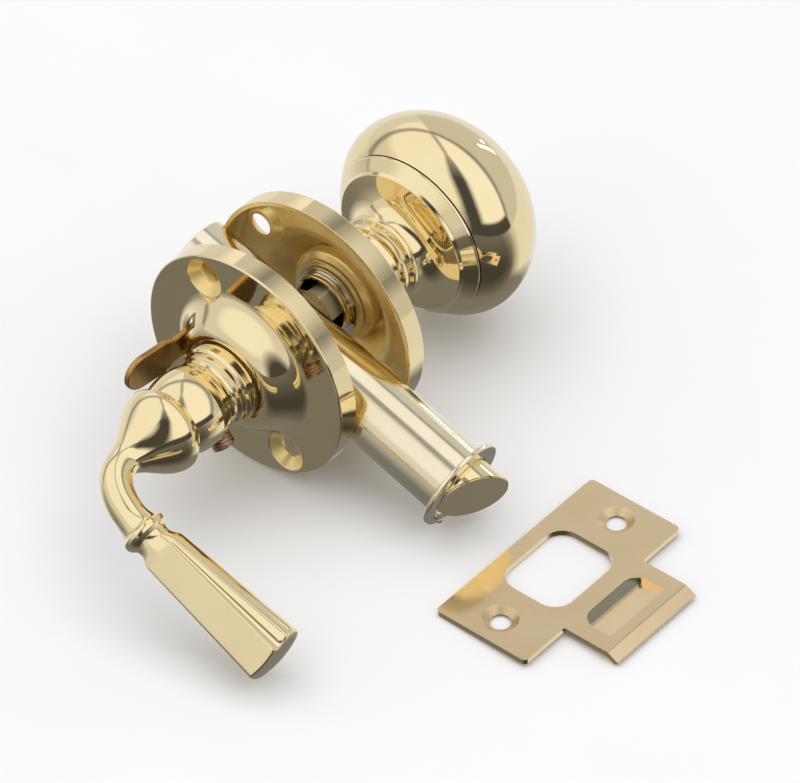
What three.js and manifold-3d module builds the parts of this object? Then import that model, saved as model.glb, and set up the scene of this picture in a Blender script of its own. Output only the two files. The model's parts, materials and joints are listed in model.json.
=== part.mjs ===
// A tubular latch set for a screen door: a lever with a rosette on one side, a knob with
// a rosette on the other, a spring latch in a tube between them, and a loose T-shaped strike.
// Millimetres, +Z up. The set lies as it would on a table: the spindle runs along +Y from the
// lever side to the knob side, and the latch bolt points along +X and slightly down.

import * as THREE from 'three';
import { mergeVertices } from 'three/addons/utils/BufferGeometryUtils.js';
import Module from 'manifold-3d';

const wasm = await Module();
wasm.setup();

// ---------- driving dimensions ----------

const GAP = 0.3;                    // clearance kept between neighbouring solids
const ROUND = 40;                   // facets round the large turned pieces
const ROUND_SMALL = 24;             // facets round the small turned pieces

const LATCH_TILT = 16.75;           // degrees the latch tube dips towards the bolt
const LEVER_TILT = 22;              // degrees the lever grip dips, a little more than the latch

const ROSETTE = {
  radius: 30, depth: 5.4, wall: 1.2, edge: 0.5, spacing: 19.2,
  domeFoot: 21, domeTop: 12.2, holeRadius: 11.1,
  screwCircle: 23.9, screwRadius: 2.9, sinkRadius: 5.4, sinkDepth: 2.3,
  insideScrewAngle: 121, outsideScrewAngle: 141,
};
const SNIB = {
  radius: 15.6, thick: 1.5, angle: 176, neckWidth: 7, padWidth: 10, reach: 38,
  swing: 22, slotSpare: 5, bend: 5,
};
const LOCK_RING = { inner: 12.6, outer: 17.2, back: 1.6, thick: 1.2 };

const BUSH = { inner: 8.5, outer: 12.2, near: 6.4, far: 10.3 };     // heights above the rosette's back
const SHANK = {
  radius: 8.1, end: 2.6, collarStart: 10.7, grooveRadius: 7.5, grooveSpare: 0.1, mouthRadius: 6.9, mouthDepth: 11,
};
const SNAP_RING = { inner: 7.8, outer: 9.1, thick: 0.9, opening: 40 };
const WASHER = { inner: 8.5, outer: 10.6, thick: 0.5 };

const SPINDLE = { side: 7.14, leverEnd: -39.5, knobEnd: 44 };
const SPINDLE_FIT = 0.4;            // how much wider each square socket is than the spindle

const KNOB = { radius: 26.7, middle: 54.5, front: 74.5, back: 45.2, wall: 1.3, mouth: 22.0 };
const KNOB_PIN = { radius: 1.4, at: 27.2, length: 17.2 };

const LEVER = {
  bendStart: -55, gripStart: 16.6, gripEnd: 59.5, gripY: -66.8,
  neckRadius: 3.95, beadRadius: 5.9, beadWidth: 1.6, flare: 6,
};
const BALL = { middle: 35, radius: 10.3, halfLength: 12, from: -26, to: 30 };
const BELL = { rim: 10.8, start: 43.6, end: 58.2 };
// The grip's section at its base and at its tip: half width and distance out of the flat face,
// then the same two for the ridge above the flute, then the round back's half width and depth.
const GRIP = {
  base: { flat: 3.9, face: 4.1, ridge: 4.6, ridgeOut: 3.6, side: 5.6, back: 4.4 },
  tip: { flat: 4.35, face: 6.4, ridge: 8.0, ridgeOut: 4.0, side: 9.0, back: 6.8 },
  turn: 37, domeRadius: 26,
};
const SET_SCREW = { radius: 3, y: -31, angle: -52, proud: 2.2, length: 5.6, slot: 0.9 };

const TUBE = { outer: 9.25, inner: 8.35, rear: -30, front: 55 };
const FLANGE = { radius: 12.07, thick: 1.2 };
const STAKE = { radius: 0.9, height: 0.8, circle: 10.3, angle: 239 };
const PLUG_LENGTH = 4;

const BOLT = { radius: 8, middle: 60.5, slope: 0.5, rear: 39.2, boreRadius: 5.4, boreEnd: 53 };
const STEM = { radius: 2, headRadius: 3.6, headLength: 1.9 };
const FRAME = { rear: -10, front: 30, plate: 1.5, barIn: 1.9, barOut: 3.9, barLow: 6.65, rub: 8.05 };
const CROSSBAR = { rear: -1.2, front: 1.3 };
const HUB = { barrel: 6.3, length: 18, lobe: 7.9, lobeWidth: 3, lobeThick: 2.4, lean: 25 };
const COIL = { wire: 0.9, boltRadius: 4.1, boltTurns: 7, returnRadius: 5.4, returnTurns: 5 };

const STRIKE = {
  length: 57.15, width: 27, thick: 1.4, x: 81.5, y: 2.9, corner: 1.2,
  openWidth: 18.8, openLength: 23.2, openCorner: 5.2,
  holeSpacing: 42.6, holeRadius: 2.5, sinkRadius: 4.4,
  tongueLength: 28.8, tongueEnd: 26.2, lipRadius: 4.2, lipAngle: 55,
};
const POCKET = {
  start: 14.6, end: 23.6, length: 20, depth: 1.6, step: 0.55, floor: 0.8, wall: 1.0, slope: 2.2, corner: 4,
};

const COLOURS = {
  brass: 0xc9a766, deepBrass: 0xb98a34, paleBrass: 0xdccca4, tanBrass: 0xcdb186,
  steel: 0xb9bcc0, darkSteel: 0x6d6a66, springSteel: 0x9a9ca0,
};

const tableZ = -ROSETTE.radius;
const rad = THREE.MathUtils.degToRad;

// ---------- solids ----------

// Joins shared vertices and drops the triangles that collapse at a lathe's axis.
function weld(geometry) {
  const plain = geometry.clone();
  plain.deleteAttribute('normal');
  plain.deleteAttribute('uv');
  const merged = mergeVertices(plain, 1e-4);
  const index = merged.index.array;
  const kept = [];
  for (let i = 0; i < index.length; i += 3) {
    const [a, b, c] = [index[i], index[i + 1], index[i + 2]];
    if (a !== b && b !== c && c !== a) kept.push(a, b, c);
  }
  merged.setIndex(kept);
  return merged;
}

function toSolid(geometry) {
  const merged = weld(geometry);
  return new wasm.Manifold(new wasm.Mesh({
    numProp: 3,
    vertProperties: new Float32Array(merged.attributes.position.array),
    triVerts: new Uint32Array(merged.index.array),
  }));
}

function toGeometry(solid) {
  const mesh = solid.getMesh();
  const geometry = new THREE.BufferGeometry();
  geometry.setAttribute('position', new THREE.BufferAttribute(mesh.vertProperties, 3));
  geometry.setIndex(new THREE.BufferAttribute(mesh.triVerts, 1));
  return geometry;
}

// A turned solid round +Y from [radius, y] points, given in either direction.
function turned(points, facets = ROUND) {
  const outline = points.map(([r, y]) => new THREE.Vector2(r, y));
  const onAxis = outline[0].x === 0 && outline[outline.length - 1].x === 0;
  if (!onAxis) outline.push(outline[0].clone());
  const ordered = THREE.ShapeUtils.area(outline) > 0 ? outline : outline.reverse();
  return toSolid(new THREE.LatheGeometry(ordered, facets));
}

function box(width, depth, height, x, y, z) {
  return toSolid(new THREE.BoxGeometry(width, depth, height).translate(x, y, z));
}

// A round bar between two points.
function bar(radius, from, to, facets = ROUND_SMALL, endRadius = radius) {
  const start = new THREE.Vector3(...from);
  const along = new THREE.Vector3(...to).sub(start);
  const geometry = new THREE.CylinderGeometry(endRadius, radius, along.length(), facets);
  const turn = new THREE.Quaternion().setFromUnitVectors(new THREE.Vector3(0, 1, 0), along.clone().normalize());
  geometry.applyQuaternion(turn);
  const middle = start.addScaledVector(along, 0.5);
  return toSolid(geometry.translate(middle.x, middle.y, middle.z));
}

// A square bar along +Y, turned round its own axis by an angle in degrees.
function squareBar(side, from, to, angle) {
  const geometry = new THREE.BoxGeometry(side, to - from, side);
  geometry.rotateY(rad(angle));
  return toSolid(geometry.translate(0, (from + to) / 2, 0));
}

// A ring turned round the latch tube's axis, which is local +X.
function onLatchAxis(points, facets = ROUND_SMALL) {
  return turned(points, facets).rotate([0, 0, -90]);
}

function ringPoints(inner, outer, low, high) {
  return [[inner, low], [outer, low], [outer, high], [inner, high]];
}

function union(solids) {
  return solids.reduce((joined, next) => joined.add(next));
}

// Points on an arc of an ellipse in the [radius, y] plane, angles in degrees.
function arc(centreR, centreY, semiR, semiY, from, to, steps) {
  return Array.from({ length: steps + 1 }, (_, i) => {
    const angle = rad(from + (to - from) * i / steps);
    return [centreR + semiR * Math.cos(angle), centreY + semiY * Math.sin(angle)];
  });
}

// Points on half a cosine wave between two [radius, y] points, level at both ends. The radius
// runs evenly when evenRadius is set, otherwise y does. Inset moves the curve inwards.
function wave(start, end, steps, evenRadius, inset = 0) {
  const [dr, dy] = [end[0] - start[0], end[1] - start[1]];
  return Array.from({ length: steps + 1 }, (_, i) => {
    const even = i / steps;
    const eased = (1 - Math.cos(Math.PI * even)) / 2;
    const rate = Math.PI * Math.sin(Math.PI * even) / 2;
    const [pr, py, tr, ty] = evenRadius ? [even, eased, dr, dy * rate] : [eased, even, dr * rate, dy];
    const long = Math.hypot(tr, ty);
    return [start[0] + dr * pr - inset * ty / long, start[1] + dy * py + inset * tr / long];
  });
}

function finish(colour, roughness, metalness = 1) {
  return new THREE.MeshStandardMaterial({ color: colour, roughness, metalness });
}

function piece(name, solid, material) {
  const mesh = new THREE.Mesh(toGeometry(solid), material);
  mesh.name = name;
  return mesh;
}

// ---------- rosettes and what they hold ----------

// A rosette pressed from sheet, its back at y = 0 and its dome towards +Y.
function rosetteSolid(screwAngle) {
  const { radius, depth, wall, edge, domeFoot, domeTop, holeRadius } = ROSETTE;
  const outside = [
    [radius, 0], [radius, depth - edge], [radius - edge, depth],
    ...wave([domeFoot, depth], [holeRadius, domeTop], 9, true),
  ];
  const inside = [
    ...wave([holeRadius, domeTop], [domeFoot, depth], 7, true, -wall),
    [radius - wall, depth - wall], [radius - wall, 0],
  ];
  const shell = turned([...outside, ...inside]);
  return [0, 180].reduce((solid, turn) => countersunk(solid, screwAngle + turn), shell);
}

// Presses one dimpled, countersunk screw hole into a rosette.
function countersunk(solid, angle) {
  const { depth, domeTop, screwCircle, screwRadius, sinkRadius, sinkDepth, wall } = ROSETTE;
  const x = screwCircle * Math.cos(rad(angle));
  const z = -screwCircle * Math.sin(rad(angle));
  const low = depth - sinkDepth;
  const dimple = bar(screwRadius + wall, [x, low - 0.4, z], [x, depth - 0.1, z], 24, sinkRadius + GAP);
  const sink = bar(screwRadius, [x, low, z], [x, depth, z], 24, sinkRadius);
  const above = bar(sinkRadius, [x, depth, z], [x, domeTop, z], 24);
  const hole = bar(screwRadius, [x, low - 2, z], [x, depth + 2, z], 24);
  return solid.add(dimple).subtract(union([sink, above, hole]));
}

// A flat sector of a ring, thick along +Y; angles in degrees from +X towards -Z.
function sector(inner, outer, fromAngle, toAngle, low, high) {
  const shape = new THREE.Shape();
  shape.absarc(0, 0, outer, rad(fromAngle), rad(toAngle), false);
  shape.absarc(0, 0, inner, rad(toAngle), rad(fromAngle), true);
  const geometry = new THREE.ExtrudeGeometry(shape, { depth: high - low, bevelEnabled: false, curveSegments: 14 });
  geometry.rotateX(-Math.PI / 2);
  return toSolid(geometry.translate(0, low, 0));
}

// The lever side is drawn in its own frame, with +Y out of the door, and then turned over,
// which sends an angle a to -a there.
function insideRosette() {
  const outer = SNIB.radius + SNIB.thick / 2 + 0.6;
  const inner = SNIB.radius - SNIB.thick / 2 - 0.6;
  const half = THREE.MathUtils.radToDeg(SNIB.neckWidth / 2 / SNIB.radius) + SNIB.slotSpare / 2;
  const slot = sector(inner, outer, SNIB.angle - SNIB.swing - half, SNIB.angle + half, 5.9, ROSETTE.domeTop + 1);
  return rosetteSolid(ROSETTE.insideScrewAngle).subtract(slot);
}

function bush() {
  return turned(ringPoints(BUSH.inner, BUSH.outer, BUSH.near, BUSH.far), ROUND_SMALL);
}

function washer() {
  const top = BUSH.near - GAP;
  return turned(ringPoints(WASHER.inner, WASHER.outer, top - WASHER.thick, top), ROUND_SMALL);
}

// An open snap ring in the groove behind the washer.
function snapRing() {
  const top = BUSH.near - WASHER.thick - 2 * GAP;
  const half = SNAP_RING.opening / 2;
  return sector(SNAP_RING.inner, SNAP_RING.outer, half, 360 - half, top - SNAP_RING.thick, top);
}

function lockRing() {
  const { inner, outer, back, thick } = LOCK_RING;
  return turned(ringPoints(inner, outer, back, back + thick));
}

function lockRetainer() {
  const { inner, outer, back, thick } = LOCK_RING;
  return turned(ringPoints(inner + 0.5, outer + 3, back - thick, back - GAP), ROUND_SMALL);
}

// The thumb piece: a flat strip that leaves the rosette through its slot and widens to a pad.
function snibLever() {
  const start = LOCK_RING.back + LOCK_RING.thick + GAP;
  const end = SNIB.reach - ROSETTE.spacing / 2;
  const shoulder = ROSETTE.domeTop + 2;
  const bendAt = start + (end - start) * 0.5;
  const [neck, pad] = [SNIB.neckWidth / 2, SNIB.padWidth / 2];
  const shape = new THREE.Shape();
  shape.moveTo(-neck, start);
  shape.lineTo(-neck, shoulder - 3);
  shape.quadraticCurveTo(-neck, shoulder, -pad, shoulder + 2);
  shape.lineTo(-pad, end - pad);
  shape.absarc(0, end - pad, pad, Math.PI, 0, true);
  shape.lineTo(pad, shoulder + 2);
  shape.quadraticCurveTo(neck, shoulder, neck, shoulder - 3);
  shape.lineTo(neck, start);
  const strip = { depth: SNIB.thick, bevelEnabled: false, curveSegments: 8 };
  const geometry = new THREE.ExtrudeGeometry(shape, strip);
  geometry.translate(0, 0, -SNIB.thick / 2);
  const position = geometry.attributes.position;
  for (let i = 0; i < position.count; i++) {
    const past = Math.max(0, position.getY(i) - bendAt);
    position.setZ(i, position.getZ(i) + past * Math.tan(rad(SNIB.bend)));
  }
  geometry.translate(0, 0, SNIB.radius);
  return toSolid(geometry).rotate([0, 90 + SNIB.angle, 0]);
}

// ---------- the knob ----------

function knobShell() {
  const { radius, middle, front, back, wall, mouth } = KNOB;
  const backAngle = THREE.MathUtils.radToDeg(Math.acos(mouth / radius));
  const backDepth = (middle - back) / Math.sin(rad(backAngle));
  const outside = [
    ...arc(0, middle, radius, backDepth, -backAngle, 0, 5),
    ...arc(0, middle, radius, front - middle, 9, 90, 10),
  ];
  const inside = [
    ...arc(0, middle, radius - wall, front - middle - wall, 90, 10, 8),
    ...arc(0, middle, radius - wall, backDepth - wall, 0, -backAngle * 0.8, 4),
    [mouth - wall, back],
  ];
  return turned([...outside, ...inside].map(([r, y]) => [Math.max(r, 0) < 1e-6 ? 0 : r, y]));
}

// The shank that turns in a bush: its end with the snap ring's groove, up to the collar.
function shankEnd() {
  const base = ROSETTE.spacing / 2;
  const { radius, end, collarStart, grooveRadius, grooveSpare } = SHANK;
  const grooveTop = base + BUSH.near - WASHER.thick - 2 * GAP + grooveSpare;
  const grooveLow = grooveTop - SNAP_RING.thick - 2 * grooveSpare;
  return [
    [0, base + end], [radius, base + end], [radius, grooveLow], [grooveRadius, grooveLow],
    [grooveRadius, grooveTop], [radius, grooveTop], [radius, base + collarStart],
  ];
}

// The round mouth of a shank, wider than the square socket behind it.
function shankMouth() {
  const end = ROSETTE.spacing / 2 + SHANK.end;
  return bar(SHANK.mouthRadius, [0, end - 1, 0], [0, end + SHANK.mouthDepth, 0]);
}

// The knob's neck: shank, fine rings, trumpet and the collar that closes the shell.
function knobShank() {
  const start = ROSETTE.spacing / 2 + SHANK.end;
  const rim = KNOB.back - GAP;
  const shank = shankEnd();
  const solid = turned([
    ...shank, [10.3, shank.at(-1)[1]], [10.4, 22.8], [9.6, 23.4], [9.9, 24.2],
    [9.1, 25], [8.9, 28], [9.2, 30.6], [10.3, 31.2], [10.3, 32.4], [9.7, 33], [11.1, 33.8], [11.2, 35],
    [10.3, 35.7], ...arc(18, 35.9, -7.6, 5, 12, 80, 6), [18.7, 41.3], [19, 42.4], [20.1, 43.1],
    [KNOB.mouth - 0.3, rim - 0.7], [KNOB.mouth, rim], [0, rim],
  ]);
  const socket = squareBar(SPINDLE.side + SPINDLE_FIT, start, SPINDLE.knobEnd + GAP, 45);
  return solid.subtract(union([shankMouth(), socket, knobPinHole()]));
}

function knobPinHole() {
  return bar(KNOB_PIN.radius + GAP, [-20, KNOB_PIN.at, 0], [20, KNOB_PIN.at, 0], 20);
}

function knobPin() {
  const half = KNOB_PIN.length / 2;
  return bar(KNOB_PIN.radius, [-half, KNOB_PIN.at, 0], [half, KNOB_PIN.at, 0], 20);
}

function spindle() {
  const bar45 = squareBar(SPINDLE.side, SPINDLE.leverEnd, SPINDLE.knobEnd, 45);
  return bar45.subtract(knobPinHole());
}

// ---------- the lever ----------

// The turned part of the lever, drawn towards +Y: shank, collar, ball, groove and bell.
function leverNeck() {
  const { middle, radius, halfLength, from, to } = BALL;
  const { rim, start, end } = BELL;
  const shank = shankEnd();
  return turned([
    ...shank, [10.2, shank.at(-1)[1]], [10.5, 21.2], [10.5, 24.6], [9.9, 25.2],
    [9.5, 25.3], [9.5, 26.5], [8.6, 27.1], [8.5, 28.2], [9.2, 28.9],
    ...arc(0, middle, radius, halfLength, from, to, 8), [9.4, 42.0], [rim - 0.2, 42.6],
    ...wave([rim, start], [LEVER.neckRadius, end], 8, false), [0, end],
  ]);
}

// The grip's section: a flat front face, a hollow flute above it, and a round back that sweeps
// up to the flat's lower edge. Points are [out through the flat face, across it].
function gripSection({ flat, face, ridge, ridgeOut, side, back }) {
  const hollow = { out: ridgeOut + 0.2, across: flat + 0.15 * (ridge - flat) };
  const bulge = { out: ridgeOut - 3, across: 1.15 * side };
  const under = { out: 0.47 * face, across: -flat - 0.35 * side };
  const shape = new THREE.Shape();
  shape.moveTo(face, -flat);
  shape.lineTo(face, flat);
  shape.quadraticCurveTo(hollow.out, hollow.across, ridgeOut, ridge);
  shape.bezierCurveTo(bulge.out, bulge.across, -back, side, -back, 0);
  shape.bezierCurveTo(-back, -0.65 * side, under.out, under.across, face, -flat);
  return shape;
}

// The grip along +X: its section grows from base to tip, and the end is slightly domed.
function leverGrip() {
  const { gripStart, gripEnd, gripY } = LEVER;
  const { base, tip, turn, domeRadius } = GRIP;
  const steps = 6;
  const tipShape = gripSection(tip);
  const [basePoints, tipPoints] = [gripSection(base), tipShape].map((shape) => shape.extractPoints(steps).shape);
  const geometry = new THREE.ExtrudeGeometry(tipShape, { depth: 1, bevelEnabled: false, curveSegments: steps });
  const position = geometry.attributes.position;
  const [sin, cos] = [Math.sin(rad(turn)), Math.cos(rad(turn))];
  for (let i = 0; i < position.count; i++) {
    const onTip = new THREE.Vector2(position.getX(i), position.getY(i));
    const onBase = basePoints[tipPoints.findIndex((point) => point.distanceTo(onTip) < 1e-4)];
    const along = position.getZ(i);
    const point = onBase.clone().lerp(onTip, along);
    position.setXYZ(i, THREE.MathUtils.lerp(gripStart, gripEnd, along),
      gripY - point.x * cos - point.y * sin, point.x * sin - point.y * cos);
  }
  const length = gripEnd - gripStart;
  const dome = new THREE.SphereGeometry(domeRadius, 24, 16).rotateZ(-Math.PI / 2);
  const cut = toSolid(dome.translate(gripEnd - domeRadius, gripY, 0));
  const keep = box(length, 40, 40, gripStart + length / 2 - domeRadius / 2, gripY, 0).add(cut);
  return toSolid(geometry).intersect(keep);
}

// The swan neck that carries the turned part over into the grip.
function leverBend() {
  const { bendStart, gripStart, gripY, neckRadius } = LEVER;
  const path = new THREE.CubicBezierCurve3(
    new THREE.Vector3(0, bendStart, 0),
    new THREE.Vector3(0, -62.5, 0),
    new THREE.Vector3(5.5, gripY, 0),
    new THREE.Vector3(gripStart + 0.5, gripY, 0),
  );
  const section = new THREE.Shape();
  section.absarc(0, 0, neckRadius, 0, 2 * Math.PI, false);
  return toSolid(new THREE.ExtrudeGeometry(section, { steps: 14, extrudePath: path, curveSegments: 8 }));
}

// The flare at the end of the neck and the rounded bead that closes it.
function leverBead() {
  const { neckRadius, beadRadius, beadWidth, flare, gripStart, gripY } = LEVER;
  const bead = turned([
    [0, -flare], ...arc(beadRadius, -flare, neckRadius - beadRadius, flare - beadWidth / 2, 0, 75, 5),
    ...arc(beadRadius - 0.8, 0, 0.8, beadWidth / 2, -60, 90, 5), [0, beadWidth / 2],
  ], ROUND_SMALL);
  return bead.rotate([0, 0, -90]).translate([gripStart, gripY, 0]);
}

function leverHandle() {
  const neck = leverNeck().rotate([180, 0, 0]);
  const casting = union([neck, leverBend(), leverBead(), leverGrip()]);
  const turn = 45 - (LEVER_TILT - LATCH_TILT);
  const socket = squareBar(SPINDLE.side + SPINDLE_FIT, SPINDLE.leverEnd - GAP, 0, turn);
  const mouth = shankMouth().rotate([180, 0, 0]);
  return casting.subtract(union([mouth, socket, setScrewHole()]));
}

// A point on the set screw's axis, in the lever's own frame.
function onSetScrew(radius) {
  const angle = rad(SET_SCREW.angle + LEVER_TILT);
  return [radius * Math.cos(angle), SET_SCREW.y, radius * Math.sin(angle)];
}

function setScrewHole() {
  return bar(SET_SCREW.radius + GAP, onSetScrew(4), onSetScrew(14), 24);
}

function setScrew() {
  const top = BALL.radius + SET_SCREW.proud;
  const body = bar(SET_SCREW.radius, onSetScrew(top - SET_SCREW.length), onSetScrew(top), 24);
  const slot = new THREE.BoxGeometry(1.6, SET_SCREW.radius * 3, SET_SCREW.slot);
  slot.translate(top, 0, 0).rotateY(-rad(SET_SCREW.angle + LEVER_TILT)).translate(0, SET_SCREW.y, 0);
  return body.subtract(toSolid(slot));
}

// ---------- the latch ----------

function latchTube() {
  const { outer, inner, rear, front } = TUBE;
  const shell = onLatchAxis(ringPoints(inner, outer, rear, front), ROUND);
  return shell.subtract(bar(HUB.barrel + GAP, [0, -12, 0], [0, 12, 0]));
}

function frontFlange() {
  const low = TUBE.front + GAP;
  const high = low + FLANGE.thick;
  return onLatchAxis([
    [TUBE.inner, low], [FLANGE.radius - 0.3, low], [FLANGE.radius, low + 0.3],
    [FLANGE.radius, high - 0.3], [FLANGE.radius - 0.3, high], [TUBE.inner, high],
  ], ROUND);
}

// The small stake that stands on the flange's face, below the bolt.
function flangeStake() {
  const x = TUBE.front + GAP + FLANGE.thick + GAP;
  const y = STAKE.circle * Math.cos(rad(STAKE.angle));
  const z = STAKE.circle * Math.sin(rad(STAKE.angle));
  return bar(STAKE.radius, [x, y, z], [x + STAKE.height, y, z], 16, STAKE.radius * 0.6);
}

function rearPlug() {
  const radius = TUBE.inner - GAP;
  const { rear } = TUBE;
  return onLatchAxis([
    [0, rear + 0.4], [radius, rear + 0.4], [radius, rear + PLUG_LENGTH - 1], [3, rear + PLUG_LENGTH - 1],
    [3, rear + PLUG_LENGTH + 1], [0, rear + PLUG_LENGTH + 1],
  ]);
}

function latchBolt() {
  const { radius, middle, slope, rear, boreRadius, boreEnd } = BOLT;
  const nose = middle + slope * radius;
  const body = onLatchAxis([
    [0, boreEnd], [boreRadius, boreEnd], [boreRadius, rear], [radius, rear], [radius, nose], [0, nose],
  ], ROUND);
  const reach = 12;
  const bevel = new THREE.Shape();
  bevel.moveTo(middle - slope * reach, -reach);
  bevel.lineTo(middle + slope * reach, reach);
  bevel.lineTo(middle + slope * reach, -reach);
  const wedge = new THREE.ExtrudeGeometry(bevel, { depth: 2 * reach, bevelEnabled: false });
  return body.subtract(toSolid(wedge.translate(0, 0, -reach)));
}

// The stem that the retractor's front plate pulls the bolt by.
function boltStem() {
  const head = FRAME.front - FRAME.plate - GAP;
  const { radius, headRadius, headLength } = STEM;
  return onLatchAxis([
    [0, head - headLength], [headRadius, head - headLength], [headRadius, head], [radius, head],
    [radius, BOLT.boreEnd - GAP], [0, BOLT.boreEnd - GAP],
  ], 24);
}

// The retractor: two plates joined by four bars that pass over and under the hub.
function retractor() {
  const { rear, front, plate, barIn, barOut, barLow, rub } = FRAME;
  const across = 2 * rub;
  const length = front - rear;
  const middle = (front + rear) / 2;
  const barWide = barOut - barIn;
  const barHigh = rub - barLow;
  const parts = [rear, front - plate].map((x) => box(plate, across, across, x + plate / 2, 0, 0));
  for (const up of [1, -1]) {
    const z = up * (barLow + barHigh / 2);
    parts.push(box(CROSSBAR.front - CROSSBAR.rear, 2 * barOut, barHigh, (CROSSBAR.front + CROSSBAR.rear) / 2, 0, z));
    for (const side of [1, -1]) {
      parts.push(box(length, barWide, barHigh, middle, side * (barIn + barWide / 2), z));
    }
  }
  const inTube = bar(rub, [rear - 1, 0, 0], [front + 1, 0, 0], ROUND);
  const hole = bar(STEM.radius + 0.4, [0, 0, 0], [front + 1, 0, 0], 24);
  return union(parts).intersect(inTube).subtract(hole);
}

// The hub turned by the spindle: a barrel with one lobe above and one below.
function latchHub() {
  const { barrel, length, lobe, lobeWidth, lobeThick, lean } = HUB;
  const body = bar(barrel, [0, -length / 2, 0], [0, length / 2, 0]);
  const reach = bar(lobe, [0, -lobeWidth, 0], [0, lobeWidth, 0], ROUND);
  const lobes = [lean, 180 - lean].map((turn) => {
    const geometry = new THREE.BoxGeometry(lobeThick, lobeWidth, lobe + 1).translate(0, 0, (lobe + 1) / 2);
    return toSolid(geometry.rotateY(rad(turn))).intersect(reach);
  });
  const socket = squareBar(SPINDLE.side + SPINDLE_FIT, -length, length, 45);
  return union([body, ...lobes]).subtract(socket);
}

// A compression spring round the latch axis.
function coilSpring(radius, from, to, turns) {
  const half = COIL.wire / 2;
  const path = new THREE.CatmullRomCurve3(Array.from({ length: turns * 12 + 1 }, (_, i) => {
    const part = i / (turns * 12);
    const angle = 2 * Math.PI * turns * part;
    return new THREE.Vector3(
      from + half + (to - from - COIL.wire) * part, radius * Math.cos(angle), radius * Math.sin(angle));
  }));
  const section = new THREE.Shape();
  section.absarc(0, 0, half, 0, 2 * Math.PI, false);
  return toSolid(new THREE.ExtrudeGeometry(section, { steps: turns * 12, extrudePath: path, curveSegments: 3 }));
}

function boltSpring() {
  return coilSpring(COIL.boltRadius, FRAME.front + GAP, BOLT.boreEnd - GAP, COIL.boltTurns);
}

function returnSpring() {
  return coilSpring(COIL.returnRadius, TUBE.rear + PLUG_LENGTH - 1 + GAP, FRAME.rear - GAP, COIL.returnTurns);
}

// ---------- the strike ----------

// The strike's sheet from above: a plate with a tongue, the bolt opening and two screw holes.
function strikeOutline() {
  const { length, width, corner, tongueLength, tongueEnd } = STRIKE;
  const [hx, hy, ty] = [width / 2, length / 2, tongueLength / 2];
  const shape = new THREE.Shape();
  shape.moveTo(-hx + corner, -hy);
  shape.lineTo(hx - corner, -hy);
  shape.quadraticCurveTo(hx, -hy, hx, -hy + corner);
  shape.lineTo(hx, -ty);
  shape.lineTo(tongueEnd, -ty);
  shape.lineTo(tongueEnd, ty);
  shape.lineTo(hx, ty);
  shape.lineTo(hx, hy - corner);
  shape.quadraticCurveTo(hx, hy, hx - corner, hy);
  shape.lineTo(-hx + corner, hy);
  shape.quadraticCurveTo(-hx, hy, -hx, hy - corner);
  shape.lineTo(-hx, -hy + corner);
  shape.quadraticCurveTo(-hx, -hy, -hx + corner, -hy);
  shape.holes.push(roundedHole(STRIKE.openWidth / 2, STRIKE.openLength / 2, STRIKE.openCorner));
  return shape;
}

function roundedHole(hx, hy, corner) {
  const hole = new THREE.Path();
  const quarter = Math.PI / 2;
  hole.absarc(hx - corner, hy - corner, corner, 0, quarter, false);
  hole.absarc(-hx + corner, hy - corner, corner, quarter, 2 * quarter, false);
  hole.absarc(-hx + corner, -hy + corner, corner, 2 * quarter, 3 * quarter, false);
  hole.absarc(hx - corner, -hy + corner, corner, 3 * quarter, 4 * quarter, false);
  return hole;
}

// Extrudes an outline of the X-Z plane along Y, centred on y = 0.
function alongY(points, length) {
  const shape = new THREE.Shape(points.map(([x, z]) => new THREE.Vector2(x, z)));
  const geometry = new THREE.ExtrudeGeometry(shape, { depth: length, bevelEnabled: false });
  return toSolid(geometry.rotateX(Math.PI / 2).translate(0, length / 2, 0));
}

// The curled lip at the end of the tongue.
function strikeLip() {
  const { thick, tongueEnd, lipRadius, lipAngle, tongueLength } = STRIKE;
  const centre = thick - lipRadius;
  const outer = arc(tongueEnd, centre, lipRadius, lipRadius, 90, 90 - lipAngle, 8);
  const inner = arc(tongueEnd, centre, lipRadius - thick, lipRadius - thick, 90 - lipAngle, 90, 8);
  const root = [[tongueEnd - 0.5, 0], [tongueEnd - 0.5, thick]];
  return alongY([...outer, ...inner, ...root], tongueLength);
}

// The pocket pressed into the tongue: deepest beside the opening, running out towards the lip.
function pocketBody() {
  const { start, end, length, depth, floor, wall } = POCKET;
  const top = STRIKE.thick;
  const low = top - depth - floor;
  return alongY([
    [start - wall, top], [start - wall, low + 0.6], [start - wall + 0.6, low], [end + wall, 0], [end + wall, top],
  ], length + 2 * wall);
}

// The pocket's inside: rounded and deep beside the opening, square and shallow beside the lip.
function pocketHollow() {
  const { start, end, length, depth, step, slope, corner } = POCKET;
  const top = STRIKE.thick;
  const half = length / 2;
  const side = alongY([
    [start, top + 1], [start, top - GAP], [start + slope, top - depth], [end, top - step], [end, top + 1],
  ], length);
  const plan = new THREE.Shape();
  plan.moveTo(end, -half);
  plan.lineTo(end, half);
  plan.lineTo(start + corner, half);
  plan.quadraticCurveTo(start, half, start, half - corner);
  plan.lineTo(start, corner - half);
  plan.quadraticCurveTo(start, -half, start + corner, -half);
  const block = new THREE.ExtrudeGeometry(plan, { depth: 2 * top, bevelEnabled: false, curveSegments: 8 });
  return side.intersect(toSolid(block.translate(0, 0, -top / 2)));
}

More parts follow.
